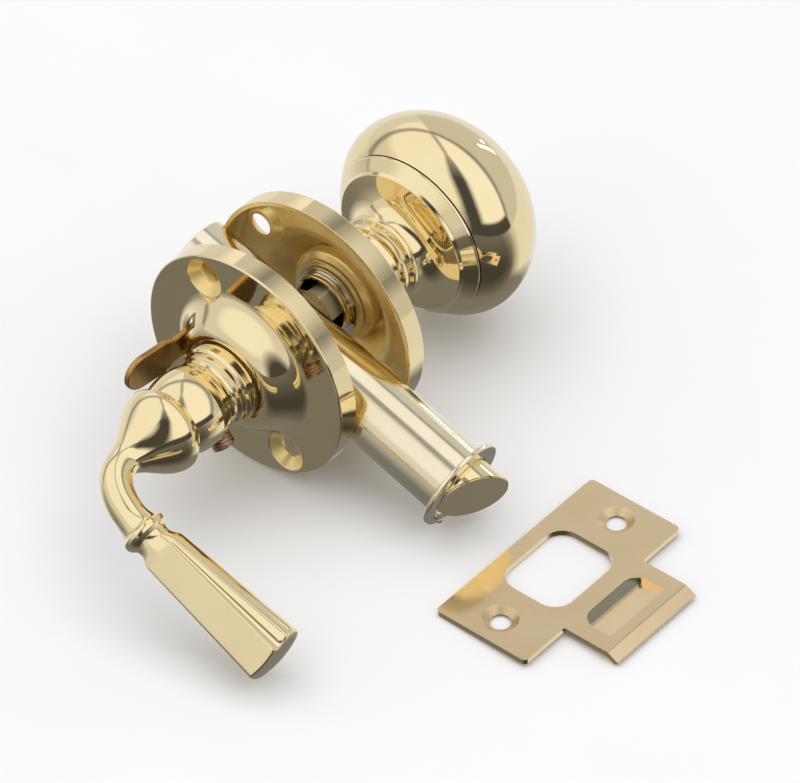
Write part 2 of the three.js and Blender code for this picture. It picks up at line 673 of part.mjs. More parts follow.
function strikePlate() {
  const { thick, holeSpacing, holeRadius, sinkRadius } = STRIKE;
  const sheet = toSolid(new THREE.ExtrudeGeometry(strikeOutline(), {
    depth: thick, bevelEnabled: false, curveSegments: 8,
  }));
  let plate = union([sheet, strikeLip(), pocketBody()]).subtract(pocketHollow());
  for (const y of [-holeSpacing / 2, holeSpacing / 2]) {
    const sink = bar(holeRadius, [0, y, thick - 1.2], [0, y, thick + 0.01], 24, sinkRadius);
    plate = plate.subtract(sink).subtract(bar(holeRadius, [0, y, -1], [0, y, thick + 1], 24));
  }
  return plate;
}

// The lip and the pocket both hang below the plate's back, so the loose strike lies tipped up
// on its back edge and on whichever of the two lifts it more.
function strikeTip() {
  const { thick, lipRadius, lipAngle, tongueEnd, width } = STRIKE;
  const inner = lipRadius - thick;
  const supports = [
    { x: tongueEnd + inner * Math.sin(rad(lipAngle)), drop: inner - inner * Math.cos(rad(lipAngle)) },
    { x: POCKET.start - POCKET.wall + 0.6, drop: POCKET.depth + POCKET.floor - thick },
  ];
  return Math.max(...supports.map(({ x, drop }) => Math.asin(drop / (x + width / 2))));
}

// ---------- assembly ----------

const brass = () => finish(COLOURS.brass, 0.12);
const deepBrass = () => finish(COLOURS.deepBrass, 0.35);
const paleBrass = () => finish(COLOURS.paleBrass, 0.2);
const steel = () => finish(COLOURS.steel, 0.25);

function knobSide() {
  const side = new THREE.Group();
  side.add(piece('outside_rosette', rosetteSolid(-ROSETTE.outsideScrewAngle), brass()));
  side.add(piece('outside_bush', bush(), deepBrass()));
  side.add(piece('outside_washer', washer(), steel()));
  side.add(piece('knob_snap_ring', snapRing(), steel()));
  side.position.y = ROSETTE.spacing / 2;
  return side;
}

function leverSide() {
  const side = new THREE.Group();
  side.add(piece('inside_rosette', insideRosette(), brass()));
  side.add(piece('inside_bush', bush(), deepBrass()));
  side.add(piece('inside_washer', washer(), steel()));
  side.add(piece('lever_snap_ring', snapRing(), steel()));
  side.add(piece('lock_ring', lockRing(), steel()));
  side.add(piece('lock_retainer', lockRetainer(), steel()));
  side.add(piece('snib_lever', snibLever(), brass()));
  side.position.y = -ROSETTE.spacing / 2;
  side.rotation.x = Math.PI;
  return side;
}

function leverAssembly() {
  const lever = new THREE.Group();
  lever.add(piece('lever_handle', leverHandle(), brass()));
  lever.add(piece('lever_set_screw', setScrew(), finish(COLOURS.darkSteel, 0.4)));
  lever.rotation.y = rad(LEVER_TILT);
  return lever;
}

function latchAssembly() {
  const springSteel = () => finish(COLOURS.springSteel, 0.3);
  const latch = new THREE.Group();
  latch.add(piece('latch_tube', latchTube(), paleBrass()));
  latch.add(piece('front_flange', frontFlange(), paleBrass()));
  latch.add(piece('flange_stake', flangeStake(), steel()));
  latch.add(piece('rear_plug', rearPlug(), deepBrass()));
  latch.add(piece('latch_bolt', latchBolt(), brass()));
  latch.add(piece('bolt_stem', boltStem(), steel()));
  latch.add(piece('retractor', retractor(), steel()));
  latch.add(piece('latch_hub', latchHub(), steel()));
  latch.add(piece('bolt_spring', boltSpring(), springSteel()));
  latch.add(piece('return_spring', returnSpring(), springSteel()));
  latch.add(piece('spindle', spindle(), paleBrass()));
  latch.add(piece('knob_shank', knobShank(), brass()));
  latch.add(piece('knob_pin', knobPin(), steel()));
  latch.rotation.y = rad(LATCH_TILT);
  return latch;
}

function strikeAssembly() {
  const strike = new THREE.Group();
  const mesh = piece('strike_plate', strikePlate(), finish(COLOURS.tanBrass, 0.3));
  mesh.position.x = STRIKE.width / 2;
  strike.add(mesh);
  strike.rotation.y = -strikeTip();
  strike.position.set(STRIKE.x - STRIKE.width / 2, STRIKE.y, tableZ);
  return strike;
}

const set = new THREE.Group();
set.add(leverSide(), knobSide(), latchAssembly(), leverAssembly(), strikeAssembly());
set.add(piece('knob_shell', knobShell(), brass()));

// The part's origin is the middle of its footprint, on the table.
const bounds = new THREE.Box3().setFromObject(set, true);
const centre = bounds.getCenter(new THREE.Vector3());
set.position.set(-centre.x, -centre.y, -bounds.min.z);

export default set;
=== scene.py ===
"""A polished brass latch set for a screen door, dressed round its CAD frame.

Lengths are in millimetres in each piece's own frame, and a placing matrix takes them to metres.
"""
import json
from math import acos, asin, atan2, ceil, cos, degrees, hypot, pi, radians, sin, sqrt, tan
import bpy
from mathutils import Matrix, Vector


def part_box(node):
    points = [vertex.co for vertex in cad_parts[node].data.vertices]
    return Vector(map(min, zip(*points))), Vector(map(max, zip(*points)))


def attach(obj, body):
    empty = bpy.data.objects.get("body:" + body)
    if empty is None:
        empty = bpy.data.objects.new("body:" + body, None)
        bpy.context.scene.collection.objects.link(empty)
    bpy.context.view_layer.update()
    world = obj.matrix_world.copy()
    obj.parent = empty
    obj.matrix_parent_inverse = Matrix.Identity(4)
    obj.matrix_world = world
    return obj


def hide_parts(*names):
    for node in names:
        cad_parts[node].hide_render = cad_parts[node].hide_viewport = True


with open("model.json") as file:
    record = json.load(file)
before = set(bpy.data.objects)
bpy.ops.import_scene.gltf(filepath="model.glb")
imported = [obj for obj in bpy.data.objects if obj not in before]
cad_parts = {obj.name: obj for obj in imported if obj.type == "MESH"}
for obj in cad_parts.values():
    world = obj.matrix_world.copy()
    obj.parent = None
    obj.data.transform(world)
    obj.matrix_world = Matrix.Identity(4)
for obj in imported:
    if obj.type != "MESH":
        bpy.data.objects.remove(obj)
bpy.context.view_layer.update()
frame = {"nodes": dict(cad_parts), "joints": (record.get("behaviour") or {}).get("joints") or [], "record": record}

from types import SimpleNamespace as Sizes

import bmesh
import bpy
from mathutils import Matrix, Vector

# ---------- driving dimensions, as in the CAD ----------

MM = 0.001
GAP = 0.3
LEVER_TILT = 22.0

ROSETTE = Sizes(radius=30, depth=5.4, wall=1.2, edge=0.5, spacing=19.2, dome_foot=21, dome_top=12.2,
                hole=11.1, screw_circle=23.9, screw=2.9, sink=5.4, sink_depth=2.3,
                inside_angle=121, outside_angle=141)
SNIB = Sizes(radius=15.6, thick=1.5, angle=176, neck=7, pad=10, reach=38, swing=22, spare=5, bend=5,
             slot_room=0.6)
LOCK_RING = Sizes(inner=12.6, outer=17.2, back=1.6, thick=1.2)
BUSH = Sizes(inner=8.5, outer=12.2, near=6.4, far=10.3)
SHANK = Sizes(radius=8.1, end=2.6, collar=10.7, groove=7.5, spare=0.1, mouth=6.9, mouth_depth=11)
SNAP_RING = Sizes(inner=7.8, outer=9.1, thick=0.9, opening=40)
WASHER = Sizes(inner=8.5, outer=10.6, thick=0.5)
SPINDLE = Sizes(side=7.14, lever_end=-39.5, knob_end=44)
KNOB = Sizes(radius=26.7, middle=54.5, front=74.5, back=45.2, wall=1.3, mouth=22.0)
# Rings turned on the necks of the knob and the lever: (radius, distance from the door's middle, fillet).
KNOB_RINGS = [(10.4, 22.8, 0.5), (9.6, 23.4, 0.3), (9.9, 24.2, 0.5), (9.1, 25, 0.6), (8.9, 28, 3),
              (9.2, 30.6, 0.5), (10.3, 31.2, 0.4), (10.3, 32.4, 0.4), (9.7, 33, 0.3), (11.1, 33.8, 0.5),
              (11.2, 35, 0.5), (10.3, 35.7, 0.3)]
LEVER_RINGS = [(10.5, 21.2, 0.5), (10.5, 24.6, 0.4), (9.9, 25.2, 0.2), (9.5, 25.3, 0.1), (9.5, 26.5, 0.3),
               (8.6, 27.1, 0.4), (8.5, 28.2, 0.5), (9.2, 28.9, 0.3)]
KNOB_PIN = Sizes(radius=1.4, at=27.2, length=17.2)
LEVER = Sizes(bend_start=-55, grip_start=16.6, grip_end=59.5, grip_y=-66.8, neck=3.95,
              bead=5.9, bead_width=1.6, flare=6)
BALL = Sizes(middle=35, radius=10.3, half_length=12, start=-26, end=30)
BELL = Sizes(rim=10.8, start=43.6, end=58.2)
GRIP_BASE = Sizes(flat=3.9, face=4.1, ridge=4.6, ridge_out=3.6, side=5.6, back=4.4)
GRIP_TIP = Sizes(flat=4.35, face=6.4, ridge=8.0, ridge_out=4.0, side=9.0, back=6.8)
ROUTE_SPARE = 0.5    # how far the neck's route runs on into the grip
GRIP_TURN = 37       # degrees that the flat front is turned up
GRIP_DOME = 26       # radius of its domed end
SET_SCREW = Sizes(radius=3, y=-31, angle=-52, proud=2.2, length=5.6, slot=0.9, pitch=0.8, thread=0.3)
TUBE = Sizes(outer=9.25, inner=8.35, rear=-30, front=55)
FLANGE = Sizes(radius=12.07, thick=1.2)
STAKE = Sizes(radius=0.9, height=0.8, circle=10.3, angle=239)
PLUG = Sizes(length=4, peg=3)
BOLT = Sizes(radius=8, middle=60.5, slope=0.5, rear=39.2, bore=5.4, bore_end=53)
STEM = Sizes(radius=2, head=3.6, head_length=1.9, from_x=28.2, to_x=52.7)
COIL_WIRE = 0.9
COILS = {"bolt": (4.1, 30.3, 52.7, 7), "return": (5.4, -26.7, -10.3, 5)}     # radius, from, to, turns
HUB_HOLE = 6.6
STRIKE = Sizes(length=57.15, width=27, thick=1.4, corner=1.2, open_width=18.8, open_length=23.2,
               open_corner=5.2, hole_spacing=42.6, hole=2.5, sink=4.4, tongue=28.8, tongue_end=26.2,
               lip=4.2, lip_angle=55)
POCKET = Sizes(start=14.6, end=23.6, length=20, depth=1.6, step=0.85, floor=0.8, wall=1.0, slope=2.2,
               corner=4)

FINE = 192          # facets round a large turned piece
SMALL = 96          # round a small one
TINY = 48           # round a pin
ARC_STEP = 8        # degrees between points on a fillet
EDGE_ANGLE = radians(35)      # sharper edges are rounded where a piece is softened
HARD_ANGLE = radians(38)      # sharper edges stay hard where it is shaded

# ---------- places, from the frame ----------

record = frame["record"]
joints = {joint["name"]: joint for joint in frame["joints"]}
mounts = {mount["name"]: mount for mount in record["mounts"]}
body_of = {node: body for body, nodes in record["behaviour"]["bodies"].items() for node in nodes}

axis_point = Vector(joints["handle_turn"]["pos_m"])
latch_way = -Vector(joints["bolt_slide"]["axis"])
LATCH_TILT = degrees(asin(-latch_way.z))


def turned_about_y(angle):
    return Matrix.Rotation(radians(angle), 4, "Y")


def place(offset=(0, 0, 0), turn=Matrix()):
    """From millimetres round a point on the spindle's axis to metres in the row frame."""
    return Matrix.Translation(axis_point + Vector(offset) * MM) @ turn @ Matrix.Scale(MM, 4)


half_spacing = ROSETTE.spacing / 2
shank_end = half_spacing + SHANK.end
LEVER_SIDE = place((0, -half_spacing, 0), Matrix.Rotation(pi, 4, "X"))
KNOB_SIDE = place((0, half_spacing, 0))
LATCH = place(turn=turned_about_y(LATCH_TILT))
LEVER_PLACE = place(turn=turned_about_y(LEVER_TILT))
MIDDLE = place()
LAID_DOWN = Matrix.Rotation(-pi / 2, 4, "Z")
ON_LATCH = LATCH @ LAID_DOWN         # for pieces turned round +Y that lie along the latch


def strike_place():
    """The loose strike lies tipped up on its back edge."""
    tip = asin(-mounts["strike_face"]["axis"][0])
    low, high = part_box("strike_plate")
    corner = Vector((low.x + STRIKE.thick * MM * sin(tip), (low.y + high.y) / 2, 0))
    middle = Matrix.Translation((STRIKE.width / 2, 0, 0))
    return Matrix.Translation(corner) @ Matrix.Rotation(-tip, 4, "Y") @ Matrix.Scale(MM, 4) @ middle


# ---------- outlines ----------

def rounded(corners, closed=False):
    """Points along corners given as (u, v) or (u, v, fillet radius), with each fillet as an arc."""
    points = []
    count = len(corners)
    for i, corner in enumerate(corners):
        here = Vector(corner[:2])
        fillet = corner[2] if len(corner) > 2 else 0
        if fillet and (closed or 0 < i < count - 1):
            before, after = Vector(corners[i - 1][:2]), Vector(corners[(i + 1) % count][:2])
            points += fillet_points(before, here, after, fillet)
        else:
            points.append(tuple(here))
    return points


def fillet_points(before, here, after, radius):
    a, b = before - here, after - here
    room = 0.49 * min(a.length, b.length)
    a.normalize()
    b.normalize()
    opening = a.angle(b)
    if opening < 1e-3 or pi - opening < 1e-3:
        return [tuple(here)]
    back = min(radius / tan(opening / 2), room)
    radius = back * tan(opening / 2)
    centre = here + (a + b).normalized() * radius / sin(opening / 2)
    start, end = here + a * back - centre, here + b * back - centre
    steps = max(2, round(degrees(pi - opening) / ARC_STEP))
    sweep = start.angle_signed(end)
    return [tuple(centre + Matrix.Rotation(-sweep * i / steps, 2) @ start) for i in range(steps + 1)]


def rectangle(left, right, low, high, fillet=0):
    return [(left, low, fillet), (right, low, fillet), (right, high, fillet), (left, high, fillet)]


def arc(centre_u, centre_v, semi_u, semi_v, start, end, step=4):
    """Points on an arc of an ellipse; angles in degrees."""
    steps = max(2, round(abs(end - start) / step))
    angles = [radians(start + (end - start) * i / steps) for i in range(steps + 1)]
    return [(centre_u + semi_u * cos(t), centre_v + semi_v * sin(t)) for t in angles]


def wave(start, end, steps, even_radius, inset=0.0):
    """Points on half a cosine wave between two (radius, y) points, level at both ends."""
    dr, dy = end[0] - start[0], end[1] - start[1]
    points = []
    for i in range(steps + 1):
        even = i / steps
        eased = (1 - cos(pi * even)) / 2
        rate = pi * sin(pi * even) / 2
        pr, py, tr, ty = (even, eased, dr, dy * rate) if even_radius else (eased, even, dr * rate, dy)
        length = hypot(tr, ty)
        points.append((start[0] + dr * pr - inset * ty / length, start[1] + dy * py + inset * tr / length))
    return points


def bezier(points, steps):
    """Points on a quadratic or cubic curve through its control points."""
    result = []
    for i in range(steps + 1):
        t = i / steps
        level = [Vector(p) for p in points]
        while len(level) > 1:
            level = [p.lerp(q, t) for p, q in zip(level, level[1:])]
        result.append(tuple(level[0]))
    return result


# ---------- meshes ----------

def in_scene(name, data):
    obj = bpy.data.objects.new(name, data)
    bpy.context.scene.collection.objects.link(obj)
    return obj


def mesh_object(name, verts, faces):
    mesh = bpy.data.meshes.new(name)
    mesh.from_pydata([tuple(v) for v in verts], [], faces)
    build = bmesh.new()
    build.from_mesh(mesh)
    bmesh.ops.remove_doubles(build, verts=build.verts, dist=1e-5)
    bmesh.ops.dissolve_degenerate(build, edges=build.edges, dist=1e-5)
    bmesh.ops.recalc_face_normals(build, faces=build.faces)
    build.to_mesh(mesh)
    build.free()
    return in_scene(name, mesh)


def lathe(name, corners, facets=FINE):
    """A solid turned round +Y from corners as (radius, y): a loop, or a line from axis to axis."""
    rings = []
    for radius, y in rounded(corners, closed=corners[0][0] > 0):
        angles = [2 * pi * j / facets for j in range(facets if radius > 1e-6 else 1)]
        rings.append([(radius * cos(t), y, radius * sin(t)) for t in angles])
    return loft(name, rings, closed=len(rings[0]) > 1)


def loft(name, rings, closed=False):
    """A solid through rings of points, where a ring of one point is a pole. Its ends are capped, or are
    joined to each other if it is closed."""
    verts, numbers, faces = [], [], []
    for ring in rings:
        numbers.append(range(len(verts), len(verts) + len(ring)))
        verts += ring
    for one, two in zip(numbers, numbers[1:] + numbers[:closed]):
        count = max(len(one), len(two))
        for j in range(count):
            k = (j + 1) % count
            corners = (one[j % len(one)], one[k % len(one)], two[k % len(two)], two[j % len(two)])
            faces.append(tuple(dict.fromkeys(corners)))
    if not closed:
        faces += [tuple(numbers[0]), tuple(numbers[-1])]
    return mesh_object(name, verts, [face for face in faces if len(face) > 2])


def prism(name, corners, low, high, along="Z"):
    """A closed outline in x and y, or in x and z where it goes along Y, extruded from low to high."""
    outline = rounded(corners, closed=True)
    rings = []
    for level in (low, high):
        rings.append([(u, level, v) if along == "Y" else (u, v, level) for u, v in outline])
    return loft(name, rings)


def bar(name, radius, start, end, facets=SMALL):
    """A round bar between two points."""
    start, way = Vector(start), Vector(end) - Vector(start)
    obj = lathe(name, [(0, 0), (radius, 0), (radius, way.length), (0, way.length)], facets)
    turn = Vector((0, 1, 0)).rotation_difference(way).to_matrix().to_4x4()
    obj.data.transform(Matrix.Translation(start) @ turn)
    return obj


def square_bar(name, side, start, end, angle, edge):
    """A square bar along +Y, turned round its own axis, with its long edges broken."""
    half = side / 2
    outline = rounded(rectangle(-half, half, -half, half, edge), closed=True)
    ends = [(start, 1 - edge / half), (start + edge, 1), (end - edge, 1), (end, 1 - edge / half)]
    obj = loft(name, [[(u * scale, y, v * scale) for u, v in outline] for y, scale in ends])
    obj.data.transform(turned_about_y(angle))
    return obj


def bake(obj):
    """Applies the object's modifiers to its mesh."""
    bpy.context.view_layer.update()
    graph = bpy.context.evaluated_depsgraph_get()
    mesh = bpy.data.meshes.new_from_object(obj.evaluated_get(graph))
    obj.modifiers.clear()
    obj.data = mesh


def modify(obj, kind, **settings):
    step = obj.modifiers.new(kind, kind)
    for key, value in settings.items():
        setattr(step, key, value)


def combine(obj, others, operation="DIFFERENCE"):
    """Cuts the others from obj, or joins them to it, and removes them."""
    for other in others:
        modify(obj, "BOOLEAN", operation=operation, solver="EXACT", object=other)
        bake(obj)
        bpy.data.objects.remove(other)
    return obj


def soften(obj, width, segments=3):
    """Rounds the sharp edges of a plain-sided solid."""
    modify(obj, "BEVEL", width=width, segments=segments, limit_method="ANGLE", angle_limit=EDGE_ANGLE)
    bake(obj)
    return obj


def shade(obj):
    """Smooth shading that keeps hard corners and lets the large faces stay flat."""
    obj.data.shade_smooth()
    obj.data.set_sharp_from_angle(angle=HARD_ANGLE)
    modify(obj, "WEIGHTED_NORMAL", mode="FACE_AREA", keep_sharp=True)


def stand_for(obj, node, where, *materials):
    """Puts a finished mesh in place of a CAD node, on the node's body and with its finish."""
    obj.data.transform(where)
    shade(obj)
    for material in materials:
        obj.data.materials.append(material)
    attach(obj, body_of[node])
    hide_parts(node)


# ---------- materials ----------

NOISE = (0.3, 0.7)            # the values that most of a noise lies between
SPECK_SCALE = 1400
SPECK_SHADE = 0.45
WIPING = (1.0, 2.2, 0.7)      # how much smears are squeezed along x, y and z
MARK_HEIGHT = 0.00002         # metres


class Nodes:
    """A short way to build a node tree: each call adds a node and returns one of its outputs."""

    def __init__(self, tree):
        self.tree = tree

    def add(self, kind, inputs=(), out=0, **settings):
        node = self.tree.nodes.new("ShaderNode" + kind)
        for key, value in settings.items():
            setattr(node, key, value)
        for key, value in dict(inputs).items():
            self.feed(node.inputs[key], value)
        return node.outputs[out]

    def feed(self, socket, value):
        if isinstance(value, bpy.types.NodeSocket):
            self.tree.links.new(value, socket)
        else:
            socket.default_value = value

    def maths(self, operation, *values):
        return self.add("Math", enumerate(values), operation=operation)

    def vector(self, operation, *values, out=0):
        return self.add("VectorMath", enumerate(values), out=out, operation=operation)

    def noise(self, where, scale, detail=3.0, roughness=0.55):
        return self.add("TexNoise", {
            "Vector": where, "Scale": scale, "Detail": detail, "Roughness": roughness})

    def spread(self, value, low, high, to_low, to_high):
        return self.add("MapRange", {
            "Value": value, "From Min": low, "From Max": high, "To Min": to_low, "To Max": to_high})

    def blend(self, share, one, two):
        return self.add("Mix", {"Factor": share, "A": one, "B": two}, out="Result", data_type="RGBA")


def new_material(name):
    """A material, its shader, a builder for its tree and the position that its patterns follow."""
    material = bpy.data.materials.new(name)
    material.use_nodes = True
    nodes = Nodes(material.node_tree)
    position = nodes.add("TexCoord", out=3)
    return material, material.node_tree.nodes["Principled BSDF"], nodes, position


def about_spindle(nodes, position):
    """Coordinates that change only with distance from the spindle's axis and along it, as tool marks do."""
    from_axis = nodes.vector("SUBTRACT", position, tuple(axis_point))
    flat = nodes.vector("MULTIPLY", from_axis, (1, 0, 1))
    radius = nodes.vector("LENGTH", flat, out=1)
    along = nodes.add("SeparateXYZ", {"Vector": from_axis}, out=1)
    return nodes.add("CombineXYZ", {"X": radius, "Y": along})


def along_latch(nodes, position):
    """Coordinates that change slowly along the latch and quickly across it, as drawn metal's grain does."""
    return nodes.add("Mapping", {
        "Vector": position, "Rotation": (0, radians(LATCH_TILT), 0), "Scale": (12, 0.35, 0.35),
    }, vector_type="TEXTURE")


def along_x(nodes, position):
    return nodes.add("Mapping", {"Vector": position, "Scale": (0.1, 2.5, 2.5)})


def metal(name, light, deep, roughness, uneven, marks=None, mark_scale=2500, mark_depth=0.2,
          cloud_scale=70, lacquer=0.0, specks=0.0, bare=1.0):
    """A metal with cloudy tone, uneven gloss, tool marks and, where asked, dark specks and lacquer. Bare is
    below 1 for metal under a thin dull film, which scatters part of the light."""
    material, shader, nodes, position = new_material(name)
    clouds = nodes.noise(position, cloud_scale, detail=4)
    tone = nodes.spread(clouds, 0.35, 0.68, 0, 1)
    tint = nodes.blend(tone, (*light, 1.0), (*deep, 1.0))
    if specks:
        spots = nodes.spread(nodes.noise(position, SPECK_SCALE, detail=2), 0.66, 0.74, 0, specks)
        tint = nodes.blend(spots, tint, (*[SPECK_SHADE * c for c in deep], 1.0))
    nodes.feed(shader.inputs["Base Color"], tint)
    wiped = nodes.vector("MULTIPLY", position, WIPING)
    smears = nodes.noise(wiped, cloud_scale * 3.1, detail=5, roughness=0.7)
    lines = nodes.noise(marks(nodes, position) if marks else position, mark_scale, detail=2)
    gloss = nodes.maths("ADD", nodes.spread(smears, *NOISE, roughness - uneven, roughness + uneven),
                        nodes.spread(lines, *NOISE, 0, uneven * 0.8))
    nodes.feed(shader.inputs["Roughness"], gloss)
    bump = nodes.add("Bump", {"Height": lines, "Strength": mark_depth, "Distance": MARK_HEIGHT})
    nodes.feed(shader.inputs["Normal"], bump)
    shader.inputs["Metallic"].default_value = bare
    shader.inputs["Coat Weight"].default_value = lacquer
    shader.inputs["Coat Roughness"].default_value = 0.03
    return material


polished = metal("polished_brass", (0.93, 0.785, 0.47), (0.91, 0.75, 0.42), 0.05, 0.018,
                 about_spindle, 1600, 0.05, lacquer=0.35)
satin = metal("satin_brass", (1.0, 0.80, 0.36), (0.90, 0.66, 0.22), 0.30, 0.06,
              about_spindle, 2600, 0.25, cloud_scale=110, bare=0.7)
bar_stock = metal("bar_stock_brass", (0.95, 0.86, 0.56), (0.84, 0.72, 0.40), 0.34, 0.06, bare=0.35)
# a dark olive brass painted on the strike pocket's steep wall as painted shade
pocket_painted_shade = metal("painted_shade_brass", (0.34, 0.32, 0.23), (0.22, 0.21, 0.15), 0.26, 0.06)
drawn = metal("drawn_pale_brass", (0.93, 0.84, 0.62), (0.88, 0.77, 0.53), 0.12, 0.03,
              along_latch, 700, 0.12, specks=0.25)
sheet = metal("rolled_tan_brass", (0.93, 0.73, 0.44), (0.90, 0.69, 0.40), 0.13, 0.03,
              along_x, 1500, 0.06, lacquer=0.3)
steel = metal("zinc_plated_steel", (0.74, 0.75, 0.78), (0.60, 0.62, 0.66), 0.24, 0.06, mark_depth=0.25)
dark_steel = metal("browned_steel", (0.66, 0.48, 0.36), (0.42, 0.29, 0.20), 0.26, 0.08,
                   mark_depth=0.3, specks=0.4)
# a darker brown brass on the thumb piece, painted in for the dark reflection it shows
snib_painted_reflection = metal("bronzed_brass", (0.62, 0.38, 0.14), (0.46, 0.26, 0.08), 0.24, 0.05, specks=0.2)
punched = metal("punched_tan_brass", (0.80, 0.63, 0.38), (0.68, 0.52, 0.29), 0.38, 0.06)
# near-black metal painted into the knob shank's mouth as painted shade
mouth_painted_shade = metal("painted_shade_bore", (0.13, 0.14, 0.17), (0.07, 0.075, 0.09), 0.34, 0.08, mark_depth=0.3)
spring_steel = metal("spring_wire", (0.62, 0.62, 0.64), (0.48, 0.48, 0.50), 0.28, 0.06, mark_depth=0.3)

# ---------- rosettes and what they hold ----------


def screw_points(angle):
    """The two screw holes' places on a rosette's face."""
    for turn in (0, 180):
        t = radians(angle + turn)
        yield ROSETTE.screw_circle * cos(t), -ROSETTE.screw_circle * sin(t)


def rosette(name, screw_angle):
    """A rosette pressed from sheet: a rim, a flat ring and a dome with a hole."""
    r = ROSETTE
    rim, depth, wall = r.radius, r.depth, r.wall
    foot, top = (r.dome_foot, depth), (r.hole, r.dome_top)
    outside = [(rim, 0, 0.15), (rim, depth, r.edge)] + wave(foot, top, 40, True)[:-1] + [(*top, 0.35)]
    inside = wave(top, foot, 30, True, -wall)
    inside[0] = (*inside[0], 0.3)
    inside += [(rim - wall, depth - wall, 1.5), (rim - wall, 0, 0.15)]
    shell = lathe(name, outside + inside)
    low = depth - r.sink_depth
    boss_radius, boss_low, boss_top = r.sink + 0.7, low - 0.5, depth - 0.05
    cut_radius, cut_low, cut_top = r.sink + 0.5, low - 3, depth + 6
    boss = [(0, boss_low), (r.screw + wall, boss_low, 0.4), (boss_radius, depth - wall, 0.8),
            (boss_radius, boss_top), (0, boss_top)]
    sink = [(0, cut_low), (r.screw, cut_low), (r.screw, low, 0.35), (r.sink - 0.2, depth - 0.1, 0.8),
            (cut_radius, depth + 0.15), (cut_radius, cut_top), (0, cut_top)]
    for x, z in screw_points(screw_angle):
        for profile, operation in ((boss, "UNION"), (sink, "DIFFERENCE")):
            tool = lathe("tool", profile, SMALL)
            tool.data.transform(Matrix.Translation((x, 0, z)))
            combine(shell, [tool], operation)
    return shell


def ring_sector(name, inner, outer, start, end, low, high, fillet):
    """A flat sector of a ring with rounded corners; angles in degrees from +X towards -Z."""
    middle = (inner + outer) / 2
    tip = degrees(fillet / middle)
    outline = arc(0, 0, outer, outer, start + tip, end - tip, 3)
    outline += end_cap(inner, outer, end, fillet, 1)
    outline += arc(0, 0, inner, inner, end - tip, start + tip, 3)
    outline += end_cap(inner, outer, start, fillet, -1)
    return prism(name, [(u, -v) for u, v in outline], low, high, along="Y")


def end_cap(inner, outer, angle, fillet, way):
    """The rounded corners at one end of a ring sector."""
    turn = Matrix.Rotation(radians(angle), 2)
    corners = [(outer, -way * fillet), (outer, 0, fillet), (inner, 0, fillet), (inner, -way * fillet)]
    if way < 0:
        corners.reverse()
    return [tuple(turn @ Vector(p)) for p in rounded(corners)[1:-1]]


def assign(obj, test, number):
    """Gives faces another of the object's materials if their centre, in its own millimetres, passes."""
    for face in obj.data.polygons:
        if test(face.center):
            face.material_index = number


def inside_sheet(point):
    """True for the hollow side of a rosette."""
    r = ROSETTE
    radius = hypot(point.x, point.z)
    if radius > r.radius - r.wall * 0.5:
        return False
    share = min(1, max(0, (r.dome_foot - radius) / (r.dome_foot - r.hole)))
    top = r.depth + (r.dome_top - r.depth) * (1 - cos(pi * share)) / 2
    return point.y < top - r.wall * 0.8


def make_rosettes():
    half = degrees(SNIB.neck / 2 / SNIB.radius) + SNIB.spare / 2
    room = SNIB.thick / 2 + SNIB.slot_room
    slot = ring_sector("slot", SNIB.radius - room, SNIB.radius + room, SNIB.angle - SNIB.swing - half,
                       SNIB.angle + half, ROSETTE.depth + 0.5, ROSETTE.dome_top + 1, 1.0)
    near = combine(rosette("inside_rosette_plate", ROSETTE.inside_angle), [slot])
    far = rosette("outside_rosette_plate", -ROSETTE.outside_angle)
    for obj, node, where in ((near, "inside_rosette", LEVER_SIDE), (far, "outside_rosette", KNOB_SIDE)):
        assign(obj, inside_sheet, 1)
        stand_for(obj, node, where, polished, satin)


def make_rosette_fittings():
    """Bush, washer and snap ring on each side."""
    b, w = BUSH, WASHER
    washer_low, washer_top = b.near - GAP - w.thick, b.near - GAP
    clip_top = washer_low - GAP
    opening = SNAP_RING.opening / 2
    for side, handle, where in (("inside", "lever", LEVER_SIDE), ("outside", "knob", KNOB_SIDE)):
        bush = lathe(f"{side}_bush_ring", [
            (b.inner, b.near, 0.5), (b.outer - 1.6, b.near + 0.1, 0.6), (b.outer, b.near + 1.2, 1.0),
            (b.outer, b.far, 0.3), (b.inner, b.far, 0.3)])
        stand_for(bush, f"{side}_bush", where, satin)
        washer = lathe(f"{side}_washer_ring", rectangle(w.inner, w.outer, washer_low, washer_top, 0.12))
        stand_for(washer, f"{side}_washer", where, satin)
        clip = ring_sector(f"{handle}_snap_ring_wire", SNAP_RING.inner, SNAP_RING.outer,
                           opening, 360 - opening, clip_top - SNAP_RING.thick, clip_top, 0.9)
        stand_for(soften(clip, 0.12, 2), f"{handle}_snap_ring", where, steel)


def make_lock_ring():
    r = LOCK_RING
    turning = lathe("lock_ring_disc", rectangle(r.inner, r.outer, r.back, r.back + r.thick, 0.2))
    stand_for(turning, "lock_ring", LEVER_SIDE, steel)
    keeper = rectangle(r.inner + 0.5, r.outer + 3, r.back - r.thick, r.back - GAP, 0.15)
    stand_for(lathe("lock_retainer_disc", keeper), "lock_retainer", LEVER_SIDE, steel)


